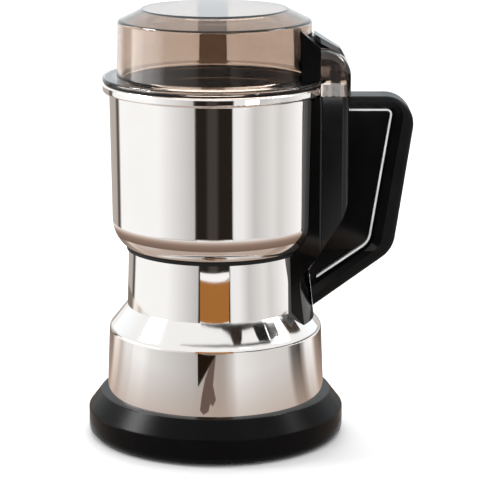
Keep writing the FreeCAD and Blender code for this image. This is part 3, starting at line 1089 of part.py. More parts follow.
# Switch in the column, its plunger and return spring
PLUNGER_TOP = size("PlungerTop", 165, "height of the plunger's upper end")
PLUNGER_LOW = size("PlungerLow", 152.2, "height of the plunger's lower end")
COLLAR_THICK = size("PlungerCollarThickness", 1.5, "thickness of the plunger's collar")
PLUNGER_COLLAR = size("PlungerCollarRadius", 3.3, "radius of the plunger's collar")
SPRING_OUTER = size("SpringOuterRadius", 3.2, "outer radius of the springs")
SPRING_INNER = size("SpringInnerRadius", 2.4, "inner radius of the springs")

switch = new_body("micro_switch")
pad(switch, "case", "XY_Plane", [
    box_loop(front_inside - 0.1 - SWITCH_DEEP, -(SWITCH_LONG / 2), front_inside - 0.1, SWITCH_LONG / 2)
], SWITCH_HIGH, raised=SWITCH_TOP - SWITCH_HIGH)
pad(switch, "tags", "XY_Plane", [
    box_loop(front_inside - 4.5, y - 0.4, front_inside - 2, y + 0.4) for y in (-7, 0, 7)
], 6, raised=SWITCH_TOP - SWITCH_HIGH - 5)
cut(switch, "screw_holes", "YZ_Plane", [
    [(side * SWITCH_SCREW_Y, switch_screw_z, SCREW_RADIUS * 0.8 + RUN)] for side in (-1, 1)
], base_radius)
nodes.append(switch)

switch_screws = new_body("switch_screws")
switch_face = front_inside - 0.1 - SWITCH_DEEP
pad(switch_screws, "heads", "YZ_Plane", [
    [(side * SWITCH_SCREW_Y, switch_screw_z, SCREW_RADIUS * 1.4)] for side in (-1, 1)
], 1.1, raised=switch_face - 1.1)
pad(switch_screws, "shanks", "YZ_Plane", [
    [(side * SWITCH_SCREW_Y, switch_screw_z, SCREW_RADIUS * 0.8)] for side in (-1, 1)
], SWITCH_DEEP + FRONT_WALL * 0.6, raised=switch_face)
nodes.append(switch_screws)

plunger = new_body("switch_plunger")
collar_top = COLUMN_TOP - FRONT_WALL - 0.1
plunger_rod = pad(plunger, "rod", "XY_Plane", [[(PLUNGER_X, 0, PLUNGER_RADIUS)]],
                  PLUNGER_TOP - PLUNGER_LOW, raised=PLUNGER_LOW)
pad(plunger, "collar", "XY_Plane", [[(PLUNGER_X, 0, PLUNGER_COLLAR)]],
    COLLAR_THICK, raised=collar_top - COLLAR_THICK)
nodes.append(plunger)


def coil_spring(label, centre_x, low, high):
    """A spring round an upright rod."""
    spring = new_body(label)
    pad(spring, "turns", "XY_Plane", [[(centre_x, 0, SPRING_OUTER)], [(centre_x, 0, SPRING_INNER)]],
        high - low, raised=low)
    return spring


plunger_spring = coil_spring("plunger_spring", PLUNGER_X, SWITCH_TOP, collar_top - COLLAR_THICK)
nodes.append(plunger_spring)

# Lid: smoked clear cap with a flange, a skirt into the bowl and a hollow lug over the column
LID_TOP = size("LidTop", 200.6, "height of the lid's flat top")
LID_TOP_RADIUS = size("LidTopRadius", 33.4, "radius of the lid's flat top")
LID_CHAMFER_LOW = size("LidChamferLow", 195.2, "height where the lid's wall begins")
LID_SHOULDER = size("LidShoulderRadius", 44.5, "outer radius of the lid's wall at the top")
LID_FOOT = size("LidFootRadius", 45.2, "outer radius of the lid's wall at the flange")
LID_EDGE_ROUND = size("LidEdgeRound", 1.6, "rounding between the lid's wall and chamfer")
LID_WALL = size("LidWall", 2.2, "wall of the lid")
FLANGE_TOP = size("FlangeTop", 169.6, "height of the flange's upper face")
FLANGE_THICK = size("FlangeThickness", 1.7, "thickness of the flange")
FLANGE_RADIUS = size("FlangeRadius", 51.8, "radius of the flange")
SKIRT_RADIUS = size("SkirtRadius", 47.3, "outer radius of the skirt inside the bowl")
SKIRT_LOW = size("SkirtLow", 161.5, "height of the skirt's lower edge")
LUG_FACE = size("LugFace", 62, "distance of the lug's outer face from the axis")
LUG_TOP = size("LugTop", 183.3, "height of the lug's top")
LUG_START = size("LugStart", 48.2, "distance of the lug's inner end from the axis")
LUG_LOW = size("LugLow", 162.8, "height of the lug's lower edge")
LUG_WALL = size("LugWall", 1.7, "wall of the lug")
LUG_ROUND = size("LugRound", 12, "rounding of the lug's outer top edge")

flange_under = FLANGE_TOP - FLANGE_THICK
lid = new_body("lid")
revolve(lid, "cap", [[
    (0, SKIRT_LOW), (0, LID_TOP), (LID_TOP_RADIUS, LID_TOP), (LID_SHOULDER, LID_CHAMFER_LOW, LID_EDGE_ROUND),
    (LID_FOOT, FLANGE_TOP), (FLANGE_RADIUS, FLANGE_TOP, FLANGE_THICK * 0.35),
    (FLANGE_RADIUS, flange_under), (SKIRT_RADIUS, flange_under), (SKIRT_RADIUS, SKIRT_LOW),
]])
pad(lid, "lug", "XY_Plane", [[
    (LUG_START, -FRONT_HALF), (LUG_FACE, FRONT_TAPER - FRONT_HALF),
    (LUG_FACE, FRONT_HALF - FRONT_TAPER), (LUG_START, FRONT_HALF),
]], LUG_TOP - LUG_LOW, raised=LUG_LOW)
cut(lid, "lug_arch", "XZ_Plane", [[
    (LUG_FACE - LUG_ROUND, LUG_TOP), (LUG_FACE, LUG_TOP, LUG_ROUND - 0.01),
    (LUG_FACE, LUG_TOP - LUG_ROUND), (LUG_FACE + 5, LUG_TOP - LUG_ROUND),
    (LUG_FACE + 5, LUG_TOP + 5), (LUG_FACE - LUG_ROUND, LUG_TOP + 5),
]], BACK_HALF * 4, both=True)
doc.recompute()


def on_lug_side(edge, p):
    """True on the long outer edges at both sides of the lug, up its face and over its arch."""
    along = (p.x - LUG_START.value) / (LUG_FACE.value - LUG_START.value)
    side_y = FRONT_HALF.value - FRONT_TAPER.value * along
    low = p.z < LUG_LOW.value + 1e-3
    return abs(abs(p.y) - side_y) < 1e-3 and p.x > LUG_START.value + 1e-3 and not low


arch = lid.Tip
lug_edges = lid.newObject("PartDesign::Fillet", "lid_lug_edges")
lug_edges.Base = (arch, edge_names(arch, on_lug_side))
lug_edges.Radius = FRONT_EDGE.value
lug_edges.setExpression("Radius", FRONT_EDGE.text)
lid.Tip = lug_edges
cut(lid, "lug_hollow", "XZ_Plane", [[
    (LUG_START, LUG_LOW - 1), (LUG_FACE - LUG_WALL, LUG_LOW - 1),
    (LUG_FACE - LUG_WALL, LUG_TOP - LUG_WALL, LUG_ROUND - LUG_WALL),
    (LUG_START - 1, LUG_TOP - LUG_WALL),
    (LUG_START - 1, FLANGE_TOP), (FLANGE_RADIUS + 0.6, FLANGE_TOP),
    (FLANGE_RADIUS + 0.6, flange_under), (LUG_START, flange_under),
]], (FRONT_HALF - FRONT_TAPER - LUG_WALL) * 2, both=True)
revolve(lid, "inside", [[
    (0, SKIRT_LOW - 1), (SKIRT_RADIUS - LID_WALL * 0.8, SKIRT_LOW - 1),
    (SKIRT_RADIUS - LID_WALL * 0.8, flange_under), (LID_FOOT - LID_WALL, FLANGE_TOP + 1),
    (LID_SHOULDER - LID_WALL, LID_CHAMFER_LOW - LID_WALL * 0.4),
    (LID_TOP_RADIUS - LID_WALL * 0.3, LID_TOP - LID_WALL), (0, LID_TOP - LID_WALL),
]], cut=True)
revolve(lid, "rim_way", [box_loop(SKIRT_RADIUS, LUG_LOW - 2, RIM_RADIUS + SLIDE, flange_under)], cut=True)
KEY_INNER = size("KeyInnerEnd", 45.9, "distance of the key's inner end from the axis")
KEY_BEND = size("KeyBend", 48.4, "distance where the key begins to narrow")
KEY_OUTER = size("KeyOuterEnd", 59.4, "distance of the key's outer end from the axis")
KEY_HALF = size("KeyHalfWidth", 9.5, "half width of the key's inner end")
KEY_TIP_HALF = size("KeyTipHalfWidth", 5.5, "half width of the key's outer end")
KEY_ROUND = size("KeyRound", 3, "rounding of the key's outer corners")
KEY_CHAMFER = size("KeyChamfer", 2, "chamfer round the key's top")
SLANT_X = size("SlantReach", 43.75, "distance where the slanted key's height is given")
SLANT_Z = size("SlantHeight", 190.7, "height of the slanted key there")
SLANT_FALL = size("SlantFall", 0.6, "fall of the key's top per millimetre outwards")
KEY_LOW = size("KeyBottom", 175, "height of the key's underside")
KEY_TRAVEL = size("KeyTravel", 2.5, "travel of the key and the plunger")


def key_plan(gap):
    return [
        (KEY_INNER - gap, -(KEY_HALF + gap)), (KEY_BEND + gap * 0.5, -(KEY_HALF + gap)),
        (KEY_OUTER + gap, -(KEY_TIP_HALF + gap), KEY_ROUND + gap),
        (KEY_OUTER + gap, KEY_TIP_HALF + gap, KEY_ROUND + gap),
        (KEY_BEND + gap * 0.5, KEY_HALF + gap), (KEY_INNER - gap, KEY_HALF + gap),
    ]


cut(lid, "key_way", "XY_Plane", [key_plan(SLIDE)], LID_TOP - FLANGE_TOP, raised=FLANGE_TOP + 1)
nodes.append(lid)

# Seal under the lid's flange, seen as the dark line above the rim
lid_seal = new_body("lid_seal")
revolve(lid_seal, "ring", [box_loop(
    SKIRT_RADIUS + FIT, RIM_TOP + RUN, FLANGE_RADIUS - 1.2, flange_under)])
nodes.append(lid_seal)

# Key housing: black block between lid and lug, its shelf guides the key's stem
HOUSING_HALF = size("KeyHousingHalfWidth", 22.7, "half width of the key housing at the lid")
HOUSING_REACH = size("KeyHousingReach", 39.6, "distance of the housing's widest place from the axis")
HOUSING_STEP = size("KeyHousingStep", 1, "height of the housing above the lug")
HOUSING_FALL = size("KeyHousingFall", 0.92, "fall of the housing's top per millimetre outwards")
SHELF_THICK = size("ShelfThickness", 1.8, "thickness of the shelf in the lug")
STEM_RADIUS = size("StemRadius", 2.2, "radius of the key's stem")
STEM_LOW = size("StemBottom", 165.2, "height of the stem's lower end")
shelf_low = FLANGE_TOP + 0.1
key_housing = new_body("key_housing")
pad(key_housing, "block", "XY_Plane", [[
    (HOUSING_REACH - 3, -HOUSING_HALF), (HOUSING_REACH, -HOUSING_HALF), (LUG_START - 0.1, -FRONT_HALF),
    (LUG_START - 0.1, FRONT_HALF), (HOUSING_REACH, HOUSING_HALF), (HOUSING_REACH - 3, HOUSING_HALF),
]], LID_TOP - FLANGE_TOP, raised=shelf_low)
housing_low_top = LUG_TOP + HOUSING_STEP
cut(key_housing, "slant", "XZ_Plane", [[
    (25, housing_low_top + (LUG_START - 25) * HOUSING_FALL), (LUG_START, housing_low_top),
    (LUG_START, LID_TOP + 20), (25, LID_TOP + 20),
]], BACK_HALF * 4, both=True)
shelf_half = FRONT_HALF - FRONT_TAPER - LUG_WALL - 0.2
pad(key_housing, "shelf", "XY_Plane", [
    box_loop(LUG_START - 1, -shelf_half, LUG_FACE - LUG_WALL - 0.2, shelf_half)
], SHELF_THICK, raised=shelf_low)
revolve(key_housing, "lid_seat", [[
    (0, FLANGE_TOP - 5), (LID_FOOT + FIT, FLANGE_TOP - 5), (LID_FOOT + FIT, FLANGE_TOP),
    (LID_SHOULDER + FIT, LID_CHAMFER_LOW), (LID_TOP_RADIUS + FIT * 2, LID_TOP), (0, LID_TOP),
]], cut=True)
cut(key_housing, "key_way", "XY_Plane", [key_plan(SLIDE)], LID_TOP - FLANGE_TOP,
    raised=shelf_low + SHELF_THICK)
cut(key_housing, "stem_hole", "XY_Plane", [[(PLUNGER_X, 0, STEM_RADIUS + SLIDE)]],
    SHELF_THICK * 3, raised=shelf_low - SHELF_THICK)
nodes.append(key_housing)

# Key: the slanted button that runs the motor while it is held down
SPRING_POCKET = size("SpringPocketHeight", 5, "depth of the spring's pocket in the key")
press_key = new_body("press_key")
pad(press_key, "block", "XY_Plane", [key_plan(as_size(0))], LID_TOP - KEY_LOW, raised=KEY_LOW)
cut(press_key, "slant", "XZ_Plane", [[
    (SLANT_X, SLANT_Z), (KEY_OUTER + 5, SLANT_Z - (KEY_OUTER + 5 - SLANT_X) * SLANT_FALL),
    (KEY_OUTER + 5, LID_TOP + 20), (SLANT_X, LID_TOP + 20),
]], BACK_HALF * 4, both=True)
doc.recompute()


def on_key_top(edge, p):
    """True round the key's top, apart from its inner end."""
    top_z = SLANT_Z.value - (p.x - SLANT_X.value) * SLANT_FALL.value
    return abs(p.z - top_z) < 0.02 and p.x > KEY_INNER.value + 1e-3


key_block = press_key.Tip
key_chamfer = press_key.newObject("PartDesign::Chamfer", "press_key_chamfer")
key_chamfer.Base = (key_block, edge_names(key_block, on_key_top))
key_chamfer.Size = KEY_CHAMFER.value
key_chamfer.setExpression("Size", KEY_CHAMFER.text)
press_key.Tip = key_chamfer
cut(press_key, "spring_pocket", "XY_Plane", [[(PLUNGER_X, 0, SPRING_OUTER + SLIDE)]],
    SPRING_POCKET, raised=KEY_LOW)
pad(press_key, "stem", "XY_Plane", [[(PLUNGER_X, 0, STEM_RADIUS)]],
    KEY_LOW + SPRING_POCKET + 1 - STEM_LOW, raised=STEM_LOW)
nodes.append(press_key)

key_spring = coil_spring("key_spring", PLUNGER_X, shelf_low + SHELF_THICK, KEY_LOW + SPRING_POCKET)
nodes.append(key_spring)

# Terminal block on the bottom plate, beside the cord inlet
BLOCK_LONG = size("TerminalBlockLength", 22, "length of the terminal block")
BLOCK_WIDE = size("TerminalBlockWidth", 9, "width of the terminal block")
BLOCK_HIGH = size("TerminalBlockHeight", 8, "height of the terminal block")
block_far = ledge_inner - 4
terminals = new_body("terminal_block")
pad(terminals, "block", "XY_Plane", [
    box_loop(-(BLOCK_LONG / 2), block_far - BLOCK_WIDE, BLOCK_LONG / 2, block_far)
], BLOCK_HIGH, raised=plate_top)
cut(terminals, "wells", "XY_Plane", [
    [(x, block_far - BLOCK_WIDE / 2, 2)] for x in (-6, 0, 6)
], BLOCK_HIGH, raised=plate_top + BLOCK_HIGH / 2)
nodes.append(terminals)


# Checks: every object is sound and every piece is a valid solid before it is written
doc.recompute()
for item in doc.Objects:
    if "Invalid" in item.State or "Error" in item.State:
        raise RuntimeError(f"{item.Name} failed: {item.State}")
for node in nodes:
    shape = node.Shape
    if shape.isNull() or not shape.isValid() or not shape.Solids:
        raise RuntimeError(f"{node.Label} has no valid solid")
for node in nodes:
    node.Shape.exportStep(f"parts/{node.Label}.step")
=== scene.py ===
import math

import bpy
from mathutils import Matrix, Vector


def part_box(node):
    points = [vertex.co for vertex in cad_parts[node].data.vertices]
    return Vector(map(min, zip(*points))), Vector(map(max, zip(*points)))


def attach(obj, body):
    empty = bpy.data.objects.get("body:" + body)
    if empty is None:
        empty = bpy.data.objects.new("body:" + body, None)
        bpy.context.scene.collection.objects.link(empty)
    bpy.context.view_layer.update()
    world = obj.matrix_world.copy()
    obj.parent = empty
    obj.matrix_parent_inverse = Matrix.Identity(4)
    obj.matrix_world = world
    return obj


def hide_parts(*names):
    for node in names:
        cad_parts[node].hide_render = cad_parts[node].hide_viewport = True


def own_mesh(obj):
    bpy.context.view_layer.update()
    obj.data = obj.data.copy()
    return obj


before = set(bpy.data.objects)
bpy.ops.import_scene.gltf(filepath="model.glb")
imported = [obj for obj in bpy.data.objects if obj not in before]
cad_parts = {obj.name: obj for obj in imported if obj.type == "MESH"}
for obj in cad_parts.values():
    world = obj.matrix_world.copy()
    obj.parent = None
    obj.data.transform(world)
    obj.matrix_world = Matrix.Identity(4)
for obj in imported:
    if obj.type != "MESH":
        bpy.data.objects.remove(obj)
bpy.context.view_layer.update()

# Base ring, bottom plate and terminal block
# The black foot of the grinder is one injection moulding with a fine spark-eroded grain. A flat plate
# with air slots closes it from below, and the terminal block sits on that plate.
METRE_TO_MM = 1000.0
NOISE_LOW = 0.3
NOISE_HIGH = 0.7
FLOW_CLOUD = 14.0
CLOUD_DARK = 0.88
CLOUD_LIGHT = 1.12
CLOUD_SMOOTH = 0.9
CLOUD_ROUGH = 1.12


def start_finish(name):
    """Begins a finish: the material, its node tree, its shader and the place on the piece in mm."""
    finish = bpy.data.materials.new(name)
    finish.use_nodes = True
    tree = finish.node_tree
    shader = tree.nodes["Principled BSDF"]
    where = tree.nodes.new("ShaderNodeTexCoord")
    in_mm = tree.nodes.new("ShaderNodeVectorMath")
    in_mm.operation = "SCALE"
    in_mm.inputs["Scale"].default_value = METRE_TO_MM
    tree.links.new(where.outputs["Object"], in_mm.inputs[0])
    return finish, tree, shader, in_mm.outputs["Vector"]


def speckle(tree, place, spot, detail=2.0, stretch=None):
    """Noise whose spots measure about spot mm, longer along an axis where stretch says so."""
    if stretch is not None:
        squeeze = tree.nodes.new("ShaderNodeVectorMath")
        squeeze.operation = "DIVIDE"
        squeeze.inputs[1].default_value = stretch
        tree.links.new(place, squeeze.inputs[0])
        place = squeeze.outputs["Vector"]
    noise = tree.nodes.new("ShaderNodeTexNoise")
    noise.inputs["Scale"].default_value = 1.0 / spot
    noise.inputs["Detail"].default_value = detail
    tree.links.new(place, noise.inputs["Vector"])
    return noise.outputs["Fac"]


def vary(tree, amount, socket, low, high):
    """Drives a number on the shader between low and high by the noise in amount."""
    spread = tree.nodes.new("ShaderNodeMapRange")
    spread.inputs["From Min"].default_value = NOISE_LOW
    spread.inputs["From Max"].default_value = NOISE_HIGH
    spread.inputs["To Min"].default_value = low
    spread.inputs["To Max"].default_value = high
    tree.links.new(amount, spread.inputs["Value"])
    tree.links.new(spread.outputs["Result"], socket)


def tint(tree, amount, socket, dark, light):
    """Drives a colour on the shader between dark and light by the noise in amount."""
    ramp = tree.nodes.new("ShaderNodeValToRGB")
    ramp.color_ramp.elements[0].position = NOISE_LOW
    ramp.color_ramp.elements[0].color = (*dark, 1.0)
    ramp.color_ramp.elements[1].position = NOISE_HIGH
    ramp.color_ramp.elements[1].color = (*light, 1.0)
    tree.links.new(amount, ramp.inputs["Fac"])
    tree.links.new(ramp.outputs["Color"], socket)


def emboss(tree, amount, shader, depth):
    """Raises the surface by depth mm where the noise in amount is high."""
    bump = tree.nodes.new("ShaderNodeBump")
    bump.inputs["Distance"].default_value = depth / METRE_TO_MM
    bump.inputs["Strength"].default_value = 1.0
    tree.links.new(amount, bump.inputs["Height"])
    tree.links.new(bump.outputs["Normal"], shader.inputs["Normal"])


def shaded(colour, share):
    """The colour made darker or lighter."""
    return [part * share for part in colour]


def moulded_plastic(name, colour, roughness, grain, depth, shine, metal=0.0):
    """Moulded plastic: an even colour with faint flow clouds, and the mould's grain and its depth in mm."""
    finish, tree, shader, place = start_finish(name)
    clouds = speckle(tree, place, FLOW_CLOUD)
    tint(tree, clouds, shader.inputs["Base Color"], shaded(colour, CLOUD_DARK), shaded(colour, CLOUD_LIGHT))
    vary(tree, clouds, shader.inputs["Roughness"], roughness * CLOUD_SMOOTH, roughness * CLOUD_ROUGH)
    emboss(tree, speckle(tree, place, grain, detail=3.0), shader, depth)
    shader.inputs["Specular IOR Level"].default_value = shine
    shader.inputs["Metallic"].default_value = metal
    return finish


def dress(finish, *names):
    """Gives a finish to pieces of the frame."""
    for name in names:
        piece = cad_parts[name]
        piece.data.materials.clear()
        piece.data.materials.append(finish)


base_black = moulded_plastic(
    "base_black", (0.0024, 0.0025, 0.0028), roughness=0.26, grain=0.5, depth=0.003, shine=0.07,
)
dress(base_black, "base_ring", "base_plate")
terminal_white = moulded_plastic(
    "terminal_white", (0.72, 0.71, 0.67), roughness=0.45, grain=0.6, depth=0.004, shine=0.4,
)
dress(terminal_white, "terminal_block")

# Rubber feet, cord inlet and seals
# Soft black rubber, pressed into its seats: the feet under the plate, the bush for the cord in the
# rear wall, the seal between neck and bowl, and the ring under the lid's flange.
rubber_black = moulded_plastic(
    "rubber_black", (0.006, 0.006, 0.0062), roughness=0.62, grain=0.8, depth=0.012, shine=0.25,
)
dress(rubber_black, "rubber_feet", "cord_gland", "neck_seal", "lid_seal")

# Housing and bowl
# Both are deep drawn from stainless sheet and polished to a mirror, the bowl with a rolled rim.
# The neck's seal and three screws in the bowl's floor hold the bowl on the housing.
HANDLING_CLOUD = 26.0
HANDLING_DARK = 0.975
HAIRLINE = 0.5
HAIRLINE_STRETCH = (9.0, 9.0, 1.0)
HAIRLINE_DEPTH = 0.0002


def polished_steel(name, colour, smoothest, roughest):
    """Mirror polish: hairlines of the buffing wheel run round, and handling leaves faint clouds."""
    finish, tree, shader, place = start_finish(name)
    clouds = speckle(tree, place, HANDLING_CLOUD, detail=3.0)
    hairlines = speckle(tree, place, HAIRLINE, stretch=HAIRLINE_STRETCH)
    shader.inputs["Metallic"].default_value = 1.0
    tint(tree, clouds, shader.inputs["Base Color"], shaded(colour, HANDLING_DARK), colour)
    vary(tree, clouds, shader.inputs["Roughness"], smoothest, roughest)
    emboss(tree, hairlines, shader, HAIRLINE_DEPTH)
    return finish


steel_mirror = polished_steel("steel_mirror", (0.9, 0.88, 0.86), smoothest=0.03, roughest=0.06)
dress(steel_mirror, "motor_housing", "bowl")

# Screws, studs and bolts
# Zinc plated steel, slightly dull, out of sight under the base and inside housing and column. The
# screws in the bowl's floor and the studs that are welded to the bowl are stainless.
METAL_GRAIN = 0.7
METAL_GRAIN_DEPTH = 0.004
METAL_DARK = 0.85
METAL_SMOOTH = 0.85
METAL_ROUGH = 1.2


def grained_metal(name, colour, roughness):
    """Metal with the fine even grain that plating, grinding, casting or sintering leaves."""
    finish, tree, shader, place = start_finish(name)
    grain = speckle(tree, place, METAL_GRAIN, detail=3.0)
    shader.inputs["Metallic"].default_value = 1.0
    tint(tree, grain, shader.inputs["Base Color"], shaded(colour, METAL_DARK), colour)
    vary(tree, grain, shader.inputs["Roughness"], roughness * METAL_SMOOTH, roughness * METAL_ROUGH)
    emboss(tree, grain, shader, METAL_GRAIN_DEPTH)
    return finish


zinc_plate = grained_metal("zinc_plate", (0.56, 0.56, 0.57), roughness=0.34)
dress(
    zinc_plate, "base_screws", "housing_screws", "motor_bolts", "stud_nuts", "foot_screws", "seam_screws",
    "switch_screws",
)
ground_steel = grained_metal("ground_steel", (0.62, 0.62, 0.63), roughness=0.24)
dress(ground_steel, "bowl_screws", "bowl_studs")

# Motor brackets, bushes, shaft, stator and armature
# Die cast brackets carry sintered bushes and a ground shaft. The stator and the armature are stacks of
# punched sheet, varnished, with enamelled copper wound round their poles and through their slots.
WAVE_AT_ONE = math.pi / 10.0

cast_alloy = grained_metal("cast_alloy", (0.5, 0.5, 0.51), roughness=0.5)
dress(cast_alloy, "upper_bracket", "lower_bracket")
bronze = grained_metal("bronze", (0.42, 0.26, 0.12), roughness=0.42)
dress(bronze, "upper_bush", "lower_bush")
dress(ground_steel, "motor_shaft")


def lined_metal(name, colour, metal, roughness, pitch, darkest, depth, wander):
    """Level lines pitch mm apart: the edges of stacked sheets, or wires that lie side by side."""
    finish, tree, shader, place = start_finish(name)
    shader.inputs["Metallic"].default_value = metal
    shader.inputs["Roughness"].default_value = roughness
    wave = tree.nodes.new("ShaderNodeTexWave")
    wave.bands_direction = "Z"
    wave.inputs["Scale"].default_value = WAVE_AT_ONE / pitch
    wave.inputs["Distortion"].default_value = wander
    tree.links.new(place, wave.inputs["Vector"])
    tint(tree, wave.outputs["Fac"], shader.inputs["Base Color"], shaded(colour, darkest), colour)
    emboss(tree, wave.outputs["Fac"], shader, depth)
    return finish


lamination = lined_metal(
    "lamination", (0.22, 0.22, 0.24), metal=0.8, roughness=0.4, pitch=0.5, darkest=0.5, depth=0.05,
    wander=0.0,
)
dress(lamination, "stator_core", "armature_core")
copper_wire = lined_metal(
    "copper_wire", (0.58, 0.22, 0.08), metal=0.9, roughness=0.28, pitch=0.6, darkest=0.35, depth=0.15,
    wander=0.6,
)
dress(copper_wire, "field_coils", "armature_winding")

# Commutator, brushes and fan
# Copper bars on a plastic core, two carbon brushes in sheet brass holders, and a moulded fan that
# draws air through the slots in the bottom plate.
copper_bars = grained_metal("copper_bars", (0.7, 0.33, 0.17), roughness=0.3)
dress(copper_bars, "commutator")
sheet_brass = grained_metal("sheet_brass", (0.7, 0.5, 0.22), roughness=0.3)
dress(sheet_brass, "brush_holders")
carbon = moulded_plastic("carbon", (0.03, 0.03, 0.032), roughness=0.5, grain=0.3, depth=0.01, shine=0.4)
dress(carbon, "carbon_brushes")
fan_grey = moulded_plastic("fan_grey", (0.08, 0.08, 0.085), roughness=0.45, grain=0.6, depth=0.006, shine=0.4)
dress(fan_grey, "cooling_fan")

# Blade, its nut, collar and bush
# The blade is stamped from stainless strip and bent, the nut domed and polished, and both turn above
# a flanged plastic bush that keeps the spice off the shaft.
blade_steel = grained_metal("blade_steel", (0.62, 0.61, 0.6), roughness=0.26)
dress(blade_steel, "blade", "blade_nut")
bush_black = moulded_plastic(
    "bush_black", (0.03, 0.03, 0.031), roughness=0.35, grain=0.6, depth=0.004, shine=0.4,
)
dress(bush_black, "bowl_bush", "blade_collar")

# Column and handle
# The saddle behind the bowl and the hollow front with its bow are gloss black mouldings, screwed
# together. A soft matte grip lies along the outside of the bow. A recessed panel with a bright strip
# round it closes the bow's window.
column_gloss = moulded_plastic(
    "column_gloss", (0.002, 0.002, 0.0022), roughness=0.13, grain=3.0, depth=0.001, shine=0.4,
)
dress(column_gloss, "column_back", "handle_body")
grip_matte = moulded_plastic(
    "grip_matte", (0.0024, 0.0024, 0.0026), roughness=0.36, grain=0.45, depth=0.006, shine=0.18,
)
dress(grip_matte, "handle_grip")
panel_black = moulded_plastic(
    "panel_black", (0.002, 0.002, 0.0022), roughness=0.17, grain=0.8, depth=0.002, shine=0.3,
)
dress(panel_black, "handle_web")
silver_lacquer = moulded_plastic(
    "silver_lacquer", (0.86, 0.86, 0.86), roughness=0.34, grain=0.6, depth=0.002, shine=0.5, metal=0.25,
)
dress(silver_lacquer, "handle_trim")

# Switch in the column and the springs
# A small sealed switch sits behind the column's face, and the key's stem pushes the plunger above it.
# Both springs are bright drawn wire, the plunger's in the column and the key's in the lug.
switch_grey = moulded_plastic(
    "switch_grey", (0.09, 0.09, 0.1), roughness=0.4, grain=0.6, depth=0.004, shine=0.4,
)
dress(switch_grey, "micro_switch")
dress(bush_black, "switch_plunger")
spring_wire = grained_metal("spring_wire", (0.6, 0.6, 0.61), roughness=0.22)
WIRE = 0.0007
TURNS = 6
CLOSED_TURNS = 0.5
STEPS_PER_TURN = 28
WIRE_SIDES = 10


def coil_spring(name, node, body):
    """A pressure spring with closed ends in the place of its solid."""
    low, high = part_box(node)
    middle = [(a + b) / 2 for a, b in zip(low, high)]
    height = high[2] - low[2]
    ring = (high[0] - low[0] - WIRE) / 2
    steps = TURNS * STEPS_PER_TURN
    points = []
    faces = []
    for k in range(steps + 1):
        turn = TURNS * k / steps
        climb = min(max((turn - CLOSED_TURNS) / (TURNS - 2 * CLOSED_TURNS), 0.0), 1.0)
        along = 2.0 * math.pi * turn
        for j in range(WIRE_SIDES):
            across = 2.0 * math.pi * j / WIRE_SIDES
            reach = ring + math.cos(across) * WIRE / 2
            points.append((
                middle[0] + reach * math.cos(along), middle[1] + reach * math.sin(along),
                low[2] + WIRE / 2 + (height - WIRE) * climb + math.sin(across) * WIRE / 2,
            ))
            if k < steps:
                here = k * WIRE_SIDES + j
                beside = k * WIRE_SIDES + (j + 1) % WIRE_SIDES
                faces.append((here, beside, beside + WIRE_SIDES, here + WIRE_SIDES))
    faces.append(tuple(reversed(range(WIRE_SIDES))))
    faces.append(tuple(range(steps * WIRE_SIDES, (steps + 1) * WIRE_SIDES)))
    mesh = bpy.data.meshes.new(name)
    mesh.from_pydata(points, [], faces)
    mesh.polygons.foreach_set("use_smooth", [len(face) == 4 for face in faces])
    mesh.materials.append(spring_wire)
    spring = bpy.data.objects.new(name, mesh)
    bpy.context.scene.collection.objects.link(spring)
    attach(spring, body)
    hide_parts(node)
    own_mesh(spring)


coil_spring("plunger_coil", "plunger_spring", "grinder")
coil_spring("key_coil", "key_spring", "lid_cover")

# Lid, key housing and key
# The lid is one clear smoked moulding, cap, flange and hollow lug. A black block joins the lug to the
# cap and guides the slanted key, whose stem reaches down through the lug.
HAZE_CLOUD = 30.0
HAZE_SMOOTH = 0.7
HAZE_ROUGH = 1.3
RIPPLE = 22.0
RIPPLE_DEPTH = 0.02


def smoked_clear(name, colour, roughness, refraction):
    """Clear plastic with a brown smoke dye all through, polished on both faces."""
    finish, tree, shader, place = start_finish(name)
    haze = speckle(tree, place, HAZE_CLOUD)
    shader.inputs["Base Color"].default_value = (*colour, 1.0)
    shader.inputs["Transmission Weight"].default_value = 1.0
    shader.inputs["IOR"].default_value = refraction
    vary(tree, haze, shader.inputs["Roughness"], roughness * HAZE_SMOOTH, roughness * HAZE_ROUGH)
    emboss(tree, speckle(tree, place, RIPPLE, detail=1.0), shader, RIPPLE_DEPTH)
    return finish


lid_smoke = smoked_clear("lid_smoke", (0.62, 0.52, 0.45), roughness=0.015, refraction=1.49)
dress(lid_smoke, "lid")
key_black = moulded_plastic(
    "key_black", (0.002, 0.002, 0.0022), roughness=0.16, grain=2.0, depth=0.0015, shine=0.13,
)
dress(key_black, "key_housing", "press_key")

# Floor of the studio
# A matt white board that runs so far out that its edge never shows. Only the object's soft shadow
# marks it.
FLOOR_HALF = 8.0
SQUARE = ((-1, -1), (1, -1), (1, 1), (-1, 1))
RAYS = ("camera", "diffuse", "glossy", "transmission", "volume_scatter", "shadow")

floor_white = bpy.data.materials.new("floor_white")
floor_white.use_nodes = True
paint = floor_white.node_tree.nodes["Principled BSDF"]
paint.inputs["Base Color"].default_value = (0.94, 0.94, 0.94, 1.0)
paint.inputs["Roughness"].default_value = 0.9
paint.inputs["Specular IOR Level"].default_value = 0.0


def stand(name, points, faces, finish, seen_by=None):
    """Sets up a stage piece; seen_by names the one kind of ray that meets it."""
    mesh = bpy.data.meshes.new(name)
    mesh.from_pydata(points, [], faces)
    mesh.materials.append(finish)
    piece = bpy.data.objects.new(name, mesh)
    bpy.context.scene.collection.objects.link(piece)
    if seen_by is not None:
        for ray in RAYS:
            setattr(piece, f"visible_{ray}", ray == seen_by)


stand("floor", [(x * FLOOR_HALF, y * FLOOR_HALF, 0.0) for x, y in SQUARE], [(0, 1, 2, 3)], floor_white)

